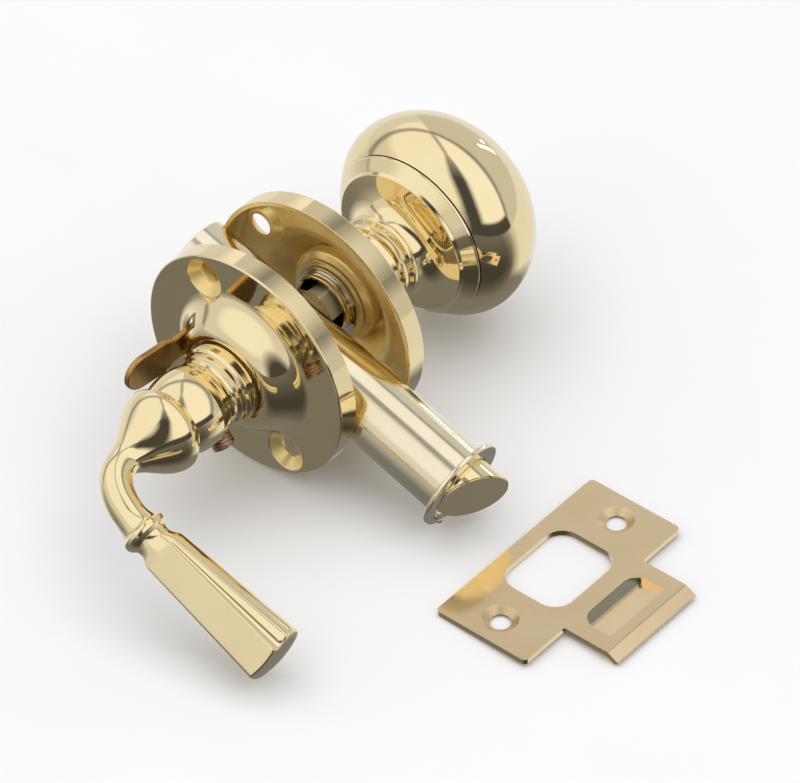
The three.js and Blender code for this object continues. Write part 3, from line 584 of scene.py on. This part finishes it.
def make_snib():
    """The thumb piece: a strip that widens to a rounded pad and is bent a little on the way."""
    start = LOCK_RING.back + LOCK_RING.thick + GAP
    end = SNIB.reach - half_spacing
    shoulder = ROSETTE.dome_top + 2
    bend_at = (start + end) / 2
    neck, pad = SNIB.neck / 2, SNIB.pad / 2
    side = rounded([(neck, start), (neck, shoulder - 1, 3), (pad, shoulder + 2, 3), (pad, end - pad)])
    tip = arc(0, end - pad, pad, pad, 0, 180, 5)[1:-1]
    outline = side + tip + [(-u, v) for u, v in reversed(side)]
    strip = soften(prism("snib_thumb_piece", outline, -SNIB.thick / 2, SNIB.thick / 2), 0.35)
    for v in strip.data.vertices:
        past = max(0.0, v.co.y - bend_at)
        v.co.z += past * tan(radians(SNIB.bend))
    strip.data.transform(turned_about_y(90 + SNIB.angle) @ Matrix.Translation((0, 0, SNIB.radius)))
    # the thumb piece gets the brown brass as a painted dark reflection
    stand_for(strip, "snib_lever", LEVER_SIDE, snib_painted_reflection)


# ---------- the knob ----------

def shank_start():
    """The shank's end, the groove for its snap ring and the step up to its collar, as (radius, y)."""
    radius, groove, break_edge = SHANK.radius, SHANK.groove, 0.1
    high = half_spacing + BUSH.near - WASHER.thick - 2 * GAP + SHANK.spare
    low = high - SNAP_RING.thick - 2 * SHANK.spare
    collar = half_spacing + SHANK.collar
    steps = [(radius, low), (groove, low), (groove, high), (radius, high), (radius, collar)]
    return [(0, shank_end), (radius, shank_end, 0.3)] + [(*step, break_edge) for step in steps], collar


def socket_tool(start, end, angle):
    return square_bar("socket", SPINDLE.side + 0.4, start, end, angle, edge=0.2)


def mouth_tool(way):
    """The round mouth of a shank, wider than the square socket behind it, with its edge broken."""
    radius, wide, bottom = SHANK.mouth, SHANK.mouth + 0.4, shank_end + SHANK.mouth_depth
    tool = lathe("mouth", [
        (0, shank_end - 1), (wide, shank_end - 1), (wide, shank_end), (radius, shank_end + 0.4),
        (radius, bottom, 0.5), (0, bottom)], SMALL)
    if way < 0:
        tool.data.transform(Matrix.Scale(-1, 4, (0, 1, 0)))
        tool.data.flip_normals()
    return tool


def in_mouth(point):
    """True for the inside of the knob shank's mouth, which is painted near-black as its shade."""
    deep = shank_end + 0.3 < point.y < shank_end + SHANK.mouth_depth + 0.1
    return deep and hypot(point.x, point.z) < SHANK.mouth + 0.1


def pin_hole():
    at, reach = KNOB_PIN.at, 20
    return bar("hole", KNOB_PIN.radius + GAP, (-reach, at, 0), (reach, at, 0), TINY)


def make_knob():
    first, collar = shank_start()
    mouth, rim = KNOB.mouth, KNOB.back - GAP
    cup = arc(18, 35.9, -7.6, 5, 12, 80) + [
        (18.7, 41.2, 0.4), (19.2, 42.1, 0.5), (mouth - 0.2, rim - 0.6, 0.3), (mouth, rim, 0.15), (0, rim)]
    shank = lathe("knob_neck", first + [(10.3, collar, 0.25)] + KNOB_RINGS + cup)
    combine(shank, [mouth_tool(1), socket_tool(half_spacing, SPINDLE.knob_end + GAP, 45), pin_hole()])
    # the mouth's faces get the near-black painted shade
    assign(shank, in_mouth, 1)
    stand_for(shank, "knob_shank", LATCH, polished, mouth_painted_shade)
    radius, half = KNOB_PIN.radius, KNOB_PIN.length / 2
    pin = [(0, -half), (radius, -half, 0.3), (radius, half, 0.3), (0, half)]
    pin = lathe("knob_cross_pin", pin, TINY)
    pin.data.transform(Matrix.Translation((0, KNOB_PIN.at, 0)) @ Matrix.Rotation(pi / 2, 4, "Z"))
    stand_for(pin, "knob_pin", LATCH, steel)
    stand_for(knob_shell(), "knob_shell", MIDDLE, polished)


def knob_shell():
    radius, middle, wall, mouth = KNOB.radius, KNOB.middle, KNOB.wall, KNOB.mouth
    back_angle = degrees(acos(mouth / radius))
    back_depth = (middle - KNOB.back) / sin(radians(back_angle))
    front_depth = KNOB.front - middle
    outside = arc(0, middle, radius, back_depth, -back_angle, 0, 2)
    outside += arc(0, middle, radius, front_depth, 2, 90, 2)
    inside = arc(0, middle, radius - wall, front_depth - wall, 90, 4, 4)
    inside += arc(0, middle, radius - wall, back_depth - wall, 0, -back_angle * 0.8, 3)
    outline = outside + inside + [(mouth - wall, KNOB.back)]
    return lathe("knob_bowl", [(max(r, 0.0), y) for r, y in outline])


# ---------- the lever ----------

def grip_section(share):
    """The grip's section, a share of the way from base to tip: a flat front, a hollow flute above it and a
    round back that sweeps up to the flat's lower edge. Points are (towards the door, up), as it stands."""
    base, tip = vars(GRIP_BASE), vars(GRIP_TIP)
    size = Sizes(**{key: base[key] + share * (tip[key] - base[key]) for key in base})
    face, flat, side, back = size.face, size.flat, size.side, size.back
    corner, low_corner = Vector((face, flat)), Vector((face, -flat))
    ridge = Vector((size.ridge_out, size.ridge))
    hollow = Vector((size.ridge_out + 0.2, flat + 0.15 * (size.ridge - flat)))
    bulge = Vector((size.ridge_out - 3, 1.15 * side))
    under = Vector((0.47 * face, -flat - 0.35 * side))
    edge = 0.1 + 0.15 * share

    def beside(point, other, distance=edge):
        return point + (other - point).normalized() * distance

    parts = [
        bezier([beside(low_corner, corner), beside(corner, low_corner)], 16),
        bezier([beside(corner, low_corner), corner, beside(corner, hollow)], 4),
        bezier([beside(corner, hollow), hollow, beside(ridge, hollow, edge * 2)], 10),
        bezier([beside(ridge, hollow, edge * 2), ridge, beside(ridge, bulge, edge * 2)], 5),
        bezier([beside(ridge, bulge, edge * 2), bulge, (-back, side), (-back, 0)], 20),
        bezier([(-back, 0), (-back, -0.65 * side), under, beside(low_corner, under)], 20),
        bezier([beside(low_corner, under), low_corner, beside(low_corner, corner)], 4)]
    sine, cosine = sin(radians(GRIP_TURN)), cos(radians(GRIP_TURN))
    return [(across * sine - out * cosine, out * sine + across * cosine)
            for part in parts for out, across in part[:-1]]


def lever_route():
    """The swan neck's centre line: its points, and the distance along it to each."""
    y, grip_y, end = LEVER.bend_start, LEVER.grip_y, LEVER.grip_start + ROUTE_SPARE
    points = [Vector(p) for p in bezier([(0, y), (0, -62.5), (5.5, grip_y), (end, grip_y)], 120)]
    along = [0.0]
    for p, q in zip(points, points[1:]):
        along.append(along[-1] + (q - p).length)
    return points, along


def on_route(route, distance):
    """The point and direction at a distance along the route, which runs on straight past both ends."""
    points, along = route
    if distance <= 0:
        return points[0] + Vector((0, -1)) * distance, Vector((0, -1))
    if distance >= along[-1]:
        return points[-1] + Vector((1, 0)) * (distance - along[-1]), Vector((1, 0))
    i = next(k for k, d in enumerate(along) if d >= distance)
    share = (distance - along[i - 1]) / (along[i] - along[i - 1])
    before, after = points[max(i - 2, 0)], points[min(i + 1, len(points) - 1)]
    return points[i - 1].lerp(points[i], share), (after - before).normalized()


def section_ring(route, distance, section):
    """A section's points, square to the route."""
    centre, way = on_route(route, distance)
    across = Vector((-way.y, way.x))
    return [(*(centre + across * u), v) for u, v in section]


def lever_turned_profile():
    """Shank, collar, ball, beads and bell as (radius, distance out of the door)."""
    first, collar = shank_start()
    ball = arc(0, BALL.middle, BALL.radius, BALL.half_length, BALL.start + 1, BALL.end - 1)
    bell = wave((BELL.rim, BELL.start), (LEVER.neck, BELL.end), 30, False)
    lip = [(9.4, 42.0, 0.5), (BELL.rim - 0.3, 42.6, 0.4)]
    return first + [(10.2, collar, 0.2)] + LEVER_RINGS + ball + lip + bell


def bead_profile(at):
    """The flare at the end of the neck and the rounded bead that closes it, as (distance, radius)."""
    neck, bead, width, flare = LEVER.neck, LEVER.bead, LEVER.bead_width, LEVER.flare
    after = GRIP_BASE.face + 0.3
    curve = arc(bead, 0, neck - bead, flare - width / 2, 0, 75)
    return [(at - flare + along, radius) for radius, along in curve] + rounded([
        (at - width * 0.45, bead - 0.1, 0.3), (at, bead, 0.5), (at + width * 0.5, bead - 0.35, 0.5),
        (at + width * 1.1, after + 0.2, 0.6), (at + width * 1.7, after)])


def spaced(profile, step=0.5):
    """The same profile with points added so that none lie more than a step apart."""
    points = [profile[0]]
    for (d0, r0), (d1, r1) in zip(profile, profile[1:]):
        parts = max(1, ceil((d1 - d0) / step))
        points += [(d0 + (d1 - d0) * i / parts, r0 + (r1 - r0) * i / parts) for i in range(1, parts + 1)]
    return points


def make_lever():
    route = lever_route()
    angles = [atan2(v, u) for u, v in grip_section(0)]

    def circle(radius):
        return [(radius * cos(t), radius * sin(t)) for t in angles]

    start = -LEVER.bend_start
    profile = [(distance - start, radius) for radius, distance in rounded(lever_turned_profile())]
    bead_at = route[1][-1] - ROUTE_SPARE
    profile = spaced(profile + bead_profile(bead_at))
    rings = [[(0, -start - profile[0][0], 0)]]
    for distance, radius in profile[1:]:
        rings.append(section_ring(route, distance, circle(radius)))
    rings += grip_rings(route, circle(profile[-1][1]), bead_at, profile[-1][0] - bead_at)
    socket = socket_tool(SPINDLE.lever_end - GAP, 0, 45 - (LEVER_TILT - LATCH_TILT))
    hole = bar("hole", SET_SCREW.radius + GAP, on_set_screw(4), on_set_screw(14), 64)
    lever = combine(loft("lever_casting", rings), [mouth_tool(-1), socket, hole])
    stand_for(lever, "lever_handle", LEVER_PLACE, polished)


def grip_rings(route, first, bead_at, start):
    """The grip, from round behind the bead to its full section, and its domed end with a rounded rim."""
    length = LEVER.grip_end - LEVER.grip_start
    edge, steps, blend, rim_steps, dome_steps = 0.6, 40, 4.0, 6, 9
    outline = grip_section(1)
    widest = max(hypot(u, v) for u, v in outline)
    last = length - (GRIP_DOME - sqrt(GRIP_DOME ** 2 - widest ** 2)) - edge
    rings = []
    for i in range(1, steps + 1):
        d = start + (last - start) * i / steps
        share = min(1.0, (d - start) / blend)
        share = share * share * (3 - 2 * share)
        section = [(cu + (u - cu) * share, cv + (v - cv) * share)
                   for (u, v), (cu, cv) in zip(grip_section(d / length), first)]
        rings.append(section_ring(route, bead_at + d, section))
    angles = [pi / 2 * i / rim_steps for i in range(1, rim_steps + 1)]
    shapes = [(1 - edge * (1 - cos(t)) / widest, edge * (1 - sin(t))) for t in angles]
    shapes += [((1 - edge / widest) * (1 - i / dome_steps), 0) for i in range(1, dome_steps)]
    rings += [dome_ring(route, bead_at + length, outline, scale, short) for scale, short in shapes]
    tip, _ = on_route(route, bead_at + length)
    return rings + [[(tip.x, tip.y, 0)]]


def dome_ring(route, end, outline, scale, short):
    """A ring on the grip's domed end, or short of it by a little."""
    ring_points = []
    for u, v in outline:
        reach = hypot(u, v) * scale
        drop = GRIP_DOME - sqrt(GRIP_DOME ** 2 - reach ** 2)
        centre, _ = on_route(route, end - drop - short)
        ring_points.append((centre.x, centre.y + u * scale, v * scale))
    return ring_points


def on_set_screw(radius):
    """A point on the set screw's axis, in the lever's own frame."""
    angle = radians(SET_SCREW.angle + LEVER_TILT)
    return radius * cos(angle), SET_SCREW.y, radius * sin(angle)


def make_set_screw():
    """A grub screw: a threaded bar with a driver's slot across its end."""
    radius, length, row = SET_SCREW.radius, SET_SCREW.length, 0.1
    top = BALL.radius + SET_SCREW.proud
    rows = [(radius, 0.5 - length + row * i) for i in range(round((length - 0.9) / row) + 1)]
    profile = [(0, -length), (radius - 0.5, -length)] + rows + [(radius - 0.4, 0), (0, 0)]
    screw = lathe("lever_grub_screw", profile, SMALL)
    for v in screw.data.vertices:
        if hypot(v.co.x, v.co.z) > radius - 0.1:
            turns = (v.co.y / SET_SCREW.pitch - atan2(v.co.z, v.co.x) / (2 * pi)) % 1
            shrink = 1 - SET_SCREW.thread / radius * abs(2 * turns - 1)
            v.co.x *= shrink
            v.co.z *= shrink
    reach, half_slot = radius * 2, SET_SCREW.slot / 2
    combine(screw, [prism("slot", rectangle(-reach, reach, -1.3, 1), -half_slot, half_slot)])
    out = Vector(on_set_screw(1)) - Vector(on_set_screw(0))
    upright = Vector((0, 1, 0)).rotation_difference(out).to_matrix().to_4x4()
    turn = Matrix.Rotation(pi / 2, 4, out) @ upright
    screw.data.transform(Matrix.Translation(on_set_screw(top)) @ turn)
    stand_for(screw, "lever_set_screw", LEVER_PLACE, dark_steel)


# ---------- the latch ----------

def make_latch_case():
    rear, front, inner = TUBE.rear, TUBE.front, TUBE.inner
    tube = lathe("latch_case_tube", rectangle(inner, TUBE.outer, rear, front, 0.25))
    combine(tube, [bar("hole", HUB_HOLE, (-12, 0, 0), (12, 0, 0))])
    stand_for(tube, "latch_tube", ON_LATCH, drawn)
    low = front + GAP
    high = low + FLANGE.thick
    edge = lathe("latch_flange_ring", rectangle(inner, FLANGE.radius, low, high, 0.4))
    stand_for(edge, "front_flange", ON_LATCH, drawn)
    angle, foot, head = radians(STAKE.angle), STAKE.radius, STAKE.radius * 0.85
    stake = [(0, 0), (foot, 0, 0.1), (head, STAKE.height, 0.5), (0, STAKE.height)]
    stake = lathe("flange_peg", stake, TINY)
    at = (high + GAP, STAKE.circle * cos(angle), STAKE.circle * sin(angle))
    stake.data.transform(Matrix.Translation(at) @ LAID_DOWN)
    stand_for(stake, "flange_stake", LATCH, steel)
    radius, low, high = inner - GAP, rear + 0.4, rear + PLUG.length
    plug = lathe("latch_rear_cap", [
        (0, low), (radius, low, 0.5), (radius, high - 1, 0.2), (PLUG.peg, high - 1, 0.2),
        (PLUG.peg, high + 1, 0.3), (0, high + 1)])
    stand_for(plug, "rear_plug", ON_LATCH, satin)


def make_bolt():
    """The bolt, a hollow bar with its nose cut to a bevel, and the stem that holds its spring."""
    b, s = BOLT, STEM
    nose = b.middle + b.slope * b.radius
    bolt = lathe("latch_bolt_nose", [
        (0, b.bore_end), (b.bore, b.bore_end, 0.3), (b.bore, b.rear, 0.2), (b.radius, b.rear, 0.3),
        (b.radius, nose), (0, nose)])
    bolt.data.transform(LAID_DOWN)
    reach = 12
    rise = b.slope * reach
    bevel = [(b.middle - rise, -reach), (b.middle + rise, reach), (b.middle + rise, -reach)]
    combine(bolt, [prism("wedge", bevel, -reach, reach)])
    bevel_rim(bolt, b.rear + 10, 0.3)
    stand_for(bolt, "latch_bolt", LATCH, polished)
    head_end = s.from_x - s.head_length
    stem = lathe("bolt_stem_rod", [
        (0, head_end), (s.head, head_end, 0.2), (s.head, s.from_x, 0.2), (s.radius, s.from_x, 0.1),
        (s.radius, s.to_x), (0, s.to_x)], TINY)
    stand_for(stem, "bolt_stem", ON_LATCH, steel)


def bevel_rim(obj, beyond, width):
    """Rounds the hard edges that lie beyond a place along x."""
    build = bmesh.new()
    build.from_mesh(obj.data)
    hard = [e for e in build.edges if e.is_manifold and e.calc_face_angle() > radians(25)
            and all(v.co.x > beyond for v in e.verts)]
    bmesh.ops.bevel(build, geom=hard, offset=width, segments=3, affect="EDGES", clamp_overlap=True)
    build.to_mesh(obj.data)
    build.free()


def coil(name, radius, start, end, turns):
    """A compression spring round the latch's axis."""
    half = COIL_WIRE / 2
    steps, facets = turns * 40, 12
    rings = []
    for i in range(steps + 1):
        share = i / steps
        angle = 2 * pi * turns * share
        out = Vector((0, cos(angle), sin(angle)))
        centre = out * radius + Vector((start + half + (end - start - 2 * half) * share, 0, 0))
        rings.append([tuple(centre + out * half * cos(t) + Vector((half * sin(t), 0, 0)))
                      for t in (2 * pi * j / facets for j in range(facets))])
    return loft(name, rings)


def make_springs():
    for kind, (radius, start, end, turns) in COILS.items():
        wire = coil(f"{kind}_spring_coil", radius, start, end, turns)
        stand_for(wire, f"{kind}_spring", LATCH, spring_steel)


def make_spindle():
    rod = square_bar("square_spindle_bar", SPINDLE.side, SPINDLE.lever_end, SPINDLE.knob_end, 45, 0.5)
    stand_for(combine(rod, [pin_hole()]), "spindle", LATCH, bar_stock)


# ---------- the strike ----------

def strike_outline():
    """The plate, a wide bar with a tongue on its right."""
    s = STRIKE
    x, y, tongue, tip, corner = s.width / 2, s.length / 2, s.tongue / 2, s.tongue_end, s.corner
    return [(-x, -y, corner), (x, -y, corner), (x, -tongue, 0.5), (tip, -tongue), (tip, tongue),
            (x, tongue, 0.5), (x, y, corner), (-x, y, corner)]


def strike_lip():
    """The lip bent down at the end of the tongue, as an outline in x and z."""
    s = STRIKE
    bend, start, top, angle = s.tongue_end, s.tongue_end - 1.5, s.thick, radians(s.lip_angle)
    outer = (bend + s.lip * sin(angle), top - s.lip * (1 - cos(angle)))
    inner = (bend + (s.lip - top) * sin(angle), outer[1] - top * cos(angle))
    return [(start, top), (bend + 0.2, top, 1.4), (*outer, 0.3), (*inner, 0.2), (bend, 0, 1.0), (start, 0)]


def in_countersink(point):
    """True for the strike's countersinks."""
    from_hole = hypot(point.x, abs(point.y) - STRIKE.hole_spacing / 2)
    return 0.02 < point.z < STRIKE.thick - 0.02 and from_hole < STRIKE.sink + 0.3


def on_pocket_wall(point):
    """True for the pocket's steep side beside the opening, which gets a dark brass as painted shade."""
    p, top = POCKET, STRIKE.thick
    beside = p.start - 0.1 < point.x < p.start + p.slope and abs(point.y) < p.length / 2 + 0.1
    return beside and top - p.depth + 0.05 < point.z < top - 0.1


def pocket_hollow():
    """The pocket's inside: rounded and steep beside the opening, square and shallow beside the lip."""
    p, top = POCKET, STRIKE.thick
    start, end, half, deep = p.start, p.end, p.length / 2, top - p.depth
    side = [(start, top + 1), (start, top - 0.2), (start + p.slope, deep, 2.5),
            (end - 0.4, top - p.step, 0.3), (end, top - 0.1), (end, top + 1)]
    plan = [(start, -half, p.corner), (end, -half, 1.2), (end, half, 0.4), (start, half, p.corner)]
    hollow = prism("hollow", side, -half, half, along="Y")
    return combine(hollow, [prism("plan", plan, deep - 1, top + 0.9)], "INTERSECT")


def pocket_body():
    """The pocket's outside, a bulge below the tongue."""
    p, top = POCKET, STRIKE.thick
    low, near, far, reach = top - p.depth - p.floor, p.start - p.wall, p.end + p.wall, p.length / 2 + p.wall
    side = [(near, top), (near, low + 0.6), (near + 0.6, low), (far, 0), (far, top)]
    return prism("pocket", side, -reach, reach, along="Y")


def make_strike():
    s = STRIKE
    top, half = s.thick, s.tongue / 2
    plate = prism("strike_pressing", strike_outline(), 0, top)
    combine(plate, [prism("lip", strike_lip(), -half, half, along="Y"), pocket_body()], "UNION")
    x, y = s.open_width / 2, s.open_length / 2
    combine(plate, [pocket_hollow(), prism("opening", rectangle(-x, x, -y, y, s.open_corner), -2, top + 2)])
    soften(plate, 0.4, 4)
    wide = s.sink + 2
    profile = [(0, -2), (s.hole, -2), (s.hole, top - 1.15, 0.2), (s.sink, top, 0.4),
               (wide, top + 0.15), (wide, top + 2), (0, top + 2)]
    for at in (-s.hole_spacing / 2, s.hole_spacing / 2):
        sink = lathe("sink", profile, SMALL)
        sink.data.transform(Matrix.Translation((0, at, 0)) @ Matrix.Rotation(pi / 2, 4, "X"))
        combine(plate, [sink])
    assign(plate, in_countersink, 1)
    # the pocket's steep wall gets the dark brass as painted shade
    assign(plate, on_pocket_wall, 2)
    stand_for(plate, "strike_plate", strike_place(), sheet, punched, pocket_painted_shade)


def dress_kept_nodes():
    """CAD nodes whose shape is right as it is keep it and get their finish."""
    for node in ("retractor", "latch_hub"):
        mesh = frame["nodes"][node].data
        mesh.materials.clear()
        mesh.materials.append(steel)


# ---------- studio ----------

VIEW = Sizes(azimuth=40.5, elevation=43.7, distance=1.5, focal=286, sensor=36,
             shift_right=0.02675, shift_up=-0.01403)
LAMP_AIM = Vector((0, 0, 0.03))
# How bright each part of the light tent is, and the backdrop that only the camera sees.
TENT = Sizes(wall=0.74, wall_top=0.98, arch=1.02, arch_rear=0.64, dark=0.07, backdrop=0.97)
# Each seam of the tent runs through two directions, as azimuth and elevation.
FRONT_SEAM = ((-45, 5), (-77, 79.5))
REAR_SEAM = ((155, 43), (92, 54))
SEAM_EDGE = 0.005             # half the width over which the cloth changes there


def towards(azimuth, elevation):
    """A direction; azimuth in degrees from +X towards +Y."""
    a, e = radians(azimuth), radians(elevation)
    return Vector((cos(a) * cos(e), sin(a) * cos(e), sin(e)))


def aimed(name, data, location, back):
    """A camera or lamp that looks away from the way back."""
    obj = in_scene(name, data)
    obj.location = location
    obj.rotation_mode = "QUATERNION"
    obj.rotation_quaternion = (-back).to_track_quat("-Z", "Y")
    return obj


def make_camera():
    back, right = towards(VIEW.azimuth - 90, VIEW.elevation), towards(VIEW.azimuth, 0)
    aim = axis_point + right * VIEW.shift_right + back.cross(right) * VIEW.shift_up
    data = bpy.data.cameras.new("camera")
    data.sensor_width = VIEW.sensor
    data.lens = VIEW.focal
    data.clip_start, data.clip_end = 0.05, 50
    bpy.context.scene.camera = aimed("camera", data, aim + back * VIEW.distance, back)


def softbox(name, azimuth, elevation, distance, width, height, radiance):
    """A rectangular lamp facing the set; radiance is how bright it looks in a mirror."""
    data = bpy.data.lights.new(name, "AREA")
    data.shape = "RECTANGLE"
    data.size, data.size_y = width, height
    data.energy = radiance * pi * width * height
    way = towards(azimuth, elevation)
    return aimed(name, data, LAMP_AIM + way * distance, way)


def make_studio():
    softbox("rim_strip", azimuth=97, elevation=12, distance=0.9, width=0.05, height=0.30, radiance=1.6)
    softbox("spark", azimuth=103, elevation=7, distance=0.85, width=0.03, height=0.03, radiance=12)
    top = softbox("overhead", azimuth=-60, elevation=86, distance=1.1, width=1.6, height=1.6, radiance=0.75)
    top.visible_glossy = False
    make_floor()
    make_world()


def make_floor():
    half, thick, below = 3.0, 0.02, 0.0002
    floor = prism("floor", rectangle(-half, half, -half, half), -thick, -below)
    material, shader, nodes, position = new_material("pale_paper")
    tone = nodes.spread(nodes.noise(position, 9), *NOISE, 0.90, 0.93)
    tint = nodes.add("CombineColor", {0: tone, 1: tone, 2: tone})
    nodes.feed(shader.inputs["Base Color"], tint)
    shader.inputs["Roughness"].default_value = 0.8
    shader.inputs["Specular IOR Level"].default_value = 0.1
    floor.data.materials.append(material)
    floor.visible_glossy = False


def facing(nodes, way, azimuth, elevation, low, high, to_low=0, to_high=1):
    """A value that changes with how nearly a direction faces a given one; low and high are cosines."""
    likeness = nodes.vector("DOT_PRODUCT", way, tuple(towards(azimuth, elevation)), out=1)
    return nodes.spread(likeness, low, high, to_low, to_high)


def seam(nodes, way, one, other):
    """The sine of a direction's angle from the plane through two others, positive to the right going up."""
    side = towards(*one).cross(towards(*other)).normalized()
    return nodes.vector("DOT_PRODUCT", way, tuple(-side), out=1)


def grey(value):
    return (value, value, value * 1.02, 1.0)


def tent_cloth(nodes, height, across_front, across_rear):
    """A wall on the left, and on the right an arch that runs overhead and is dimmer behind."""
    def split(across, one, other):
        return nodes.blend(nodes.spread(across, -SEAM_EDGE, SEAM_EDGE, 0, 1), one, other)

    wall = nodes.blend(nodes.spread(height, 0.30, 0.45, 0, 1), grey(TENT.wall), grey(TENT.wall_top))
    return split(across_front, wall, split(across_rear, grey(TENT.arch_rear), grey(TENT.arch)))


def tent_shade(nodes, way, height, across_front, across_rear):
    """How dark the tent is: its two seams, of which the front one widens where the camera looks in, and a
    low gap on the right."""
    in_front = facing(nodes, way, -50, 20, 0.35, 0.80)
    seam_width = nodes.maths("MULTIPLY_ADD", in_front, 0.15, 0.05)
    from_seam = nodes.maths("DIVIDE", nodes.maths("ABSOLUTE", across_front), seam_width)
    near_side = facing(nodes, way, -60, 30, -0.3, -0.1)
    front = nodes.maths("MULTIPLY", nodes.spread(from_seam, 0.6, 1.4, 1, 0), near_side)
    front = nodes.maths("MULTIPLY", front, nodes.maths("MULTIPLY_ADD", in_front, 0.45, 0.55))
    rear = nodes.spread(nodes.maths("ABSOLUTE", across_rear), 0.02, 0.12, 0.65, 0)
    low_down = nodes.spread(height, 0.22, 0.16, 0, 1)
    gap = nodes.maths("MULTIPLY", low_down, facing(nodes, way, -15, 0, 0.74, 0.80))
    return nodes.maths("MAXIMUM", nodes.maths("MAXIMUM", front, rear), gap)


def paper(nodes, way, height):
    """The paper floor as the brass mirrors it, darker close to the set and towards the camera."""
    near = nodes.spread(height, -0.05, -0.60, 0.55, 0.20)
    near = nodes.maths("MULTIPLY", near, facing(nodes, way, -35, -20, 0.55, 0.85, 1, 0.3))
    far = nodes.spread(height, -0.70, -0.80, 0.84, 0.22)
    return nodes.blend(facing(nodes, way, 110, 0, -0.1, 0.3), near, far)


def make_world():
    """A light tent over a paper floor. Only the camera sees plain pale paper behind the set."""
    world = bpy.data.worlds.new("studio")
    world.use_nodes = True
    bpy.context.scene.world = world
    nodes = Nodes(world.node_tree)
    way = nodes.add("TexCoord", out=0)
    height = nodes.add("SeparateXYZ", {"Vector": way}, out=2)
    across_front, across_rear = seam(nodes, way, *FRONT_SEAM), seam(nodes, way, *REAR_SEAM)
    tent = nodes.blend(tent_shade(nodes, way, height, across_front, across_rear),
                       tent_cloth(nodes, height, across_front, across_rear), grey(TENT.dark))
    over_floor = nodes.spread(height, -0.03, -0.06, 0, 1)
    mirrored = nodes.blend(over_floor, tent, paper(nodes, way, height))
    seen = nodes.blend(nodes.add("LightPath", out=0), mirrored, grey(TENT.backdrop))
    background = world.node_tree.nodes["Background"]
    nodes.feed(background.inputs["Color"], seen)
    background.inputs["Strength"].default_value = 1.0


# ---------- assembly ----------

make_camera()
make_rosettes()
make_rosette_fittings()
make_lock_ring()
make_snib()
make_knob()
make_lever()
make_set_screw()
make_latch_case()
make_bolt()
make_springs()
make_spindle()
make_strike()
dress_kept_nodes()
make_studio()

bpy.context.scene.view_settings.view_transform = "Standard"
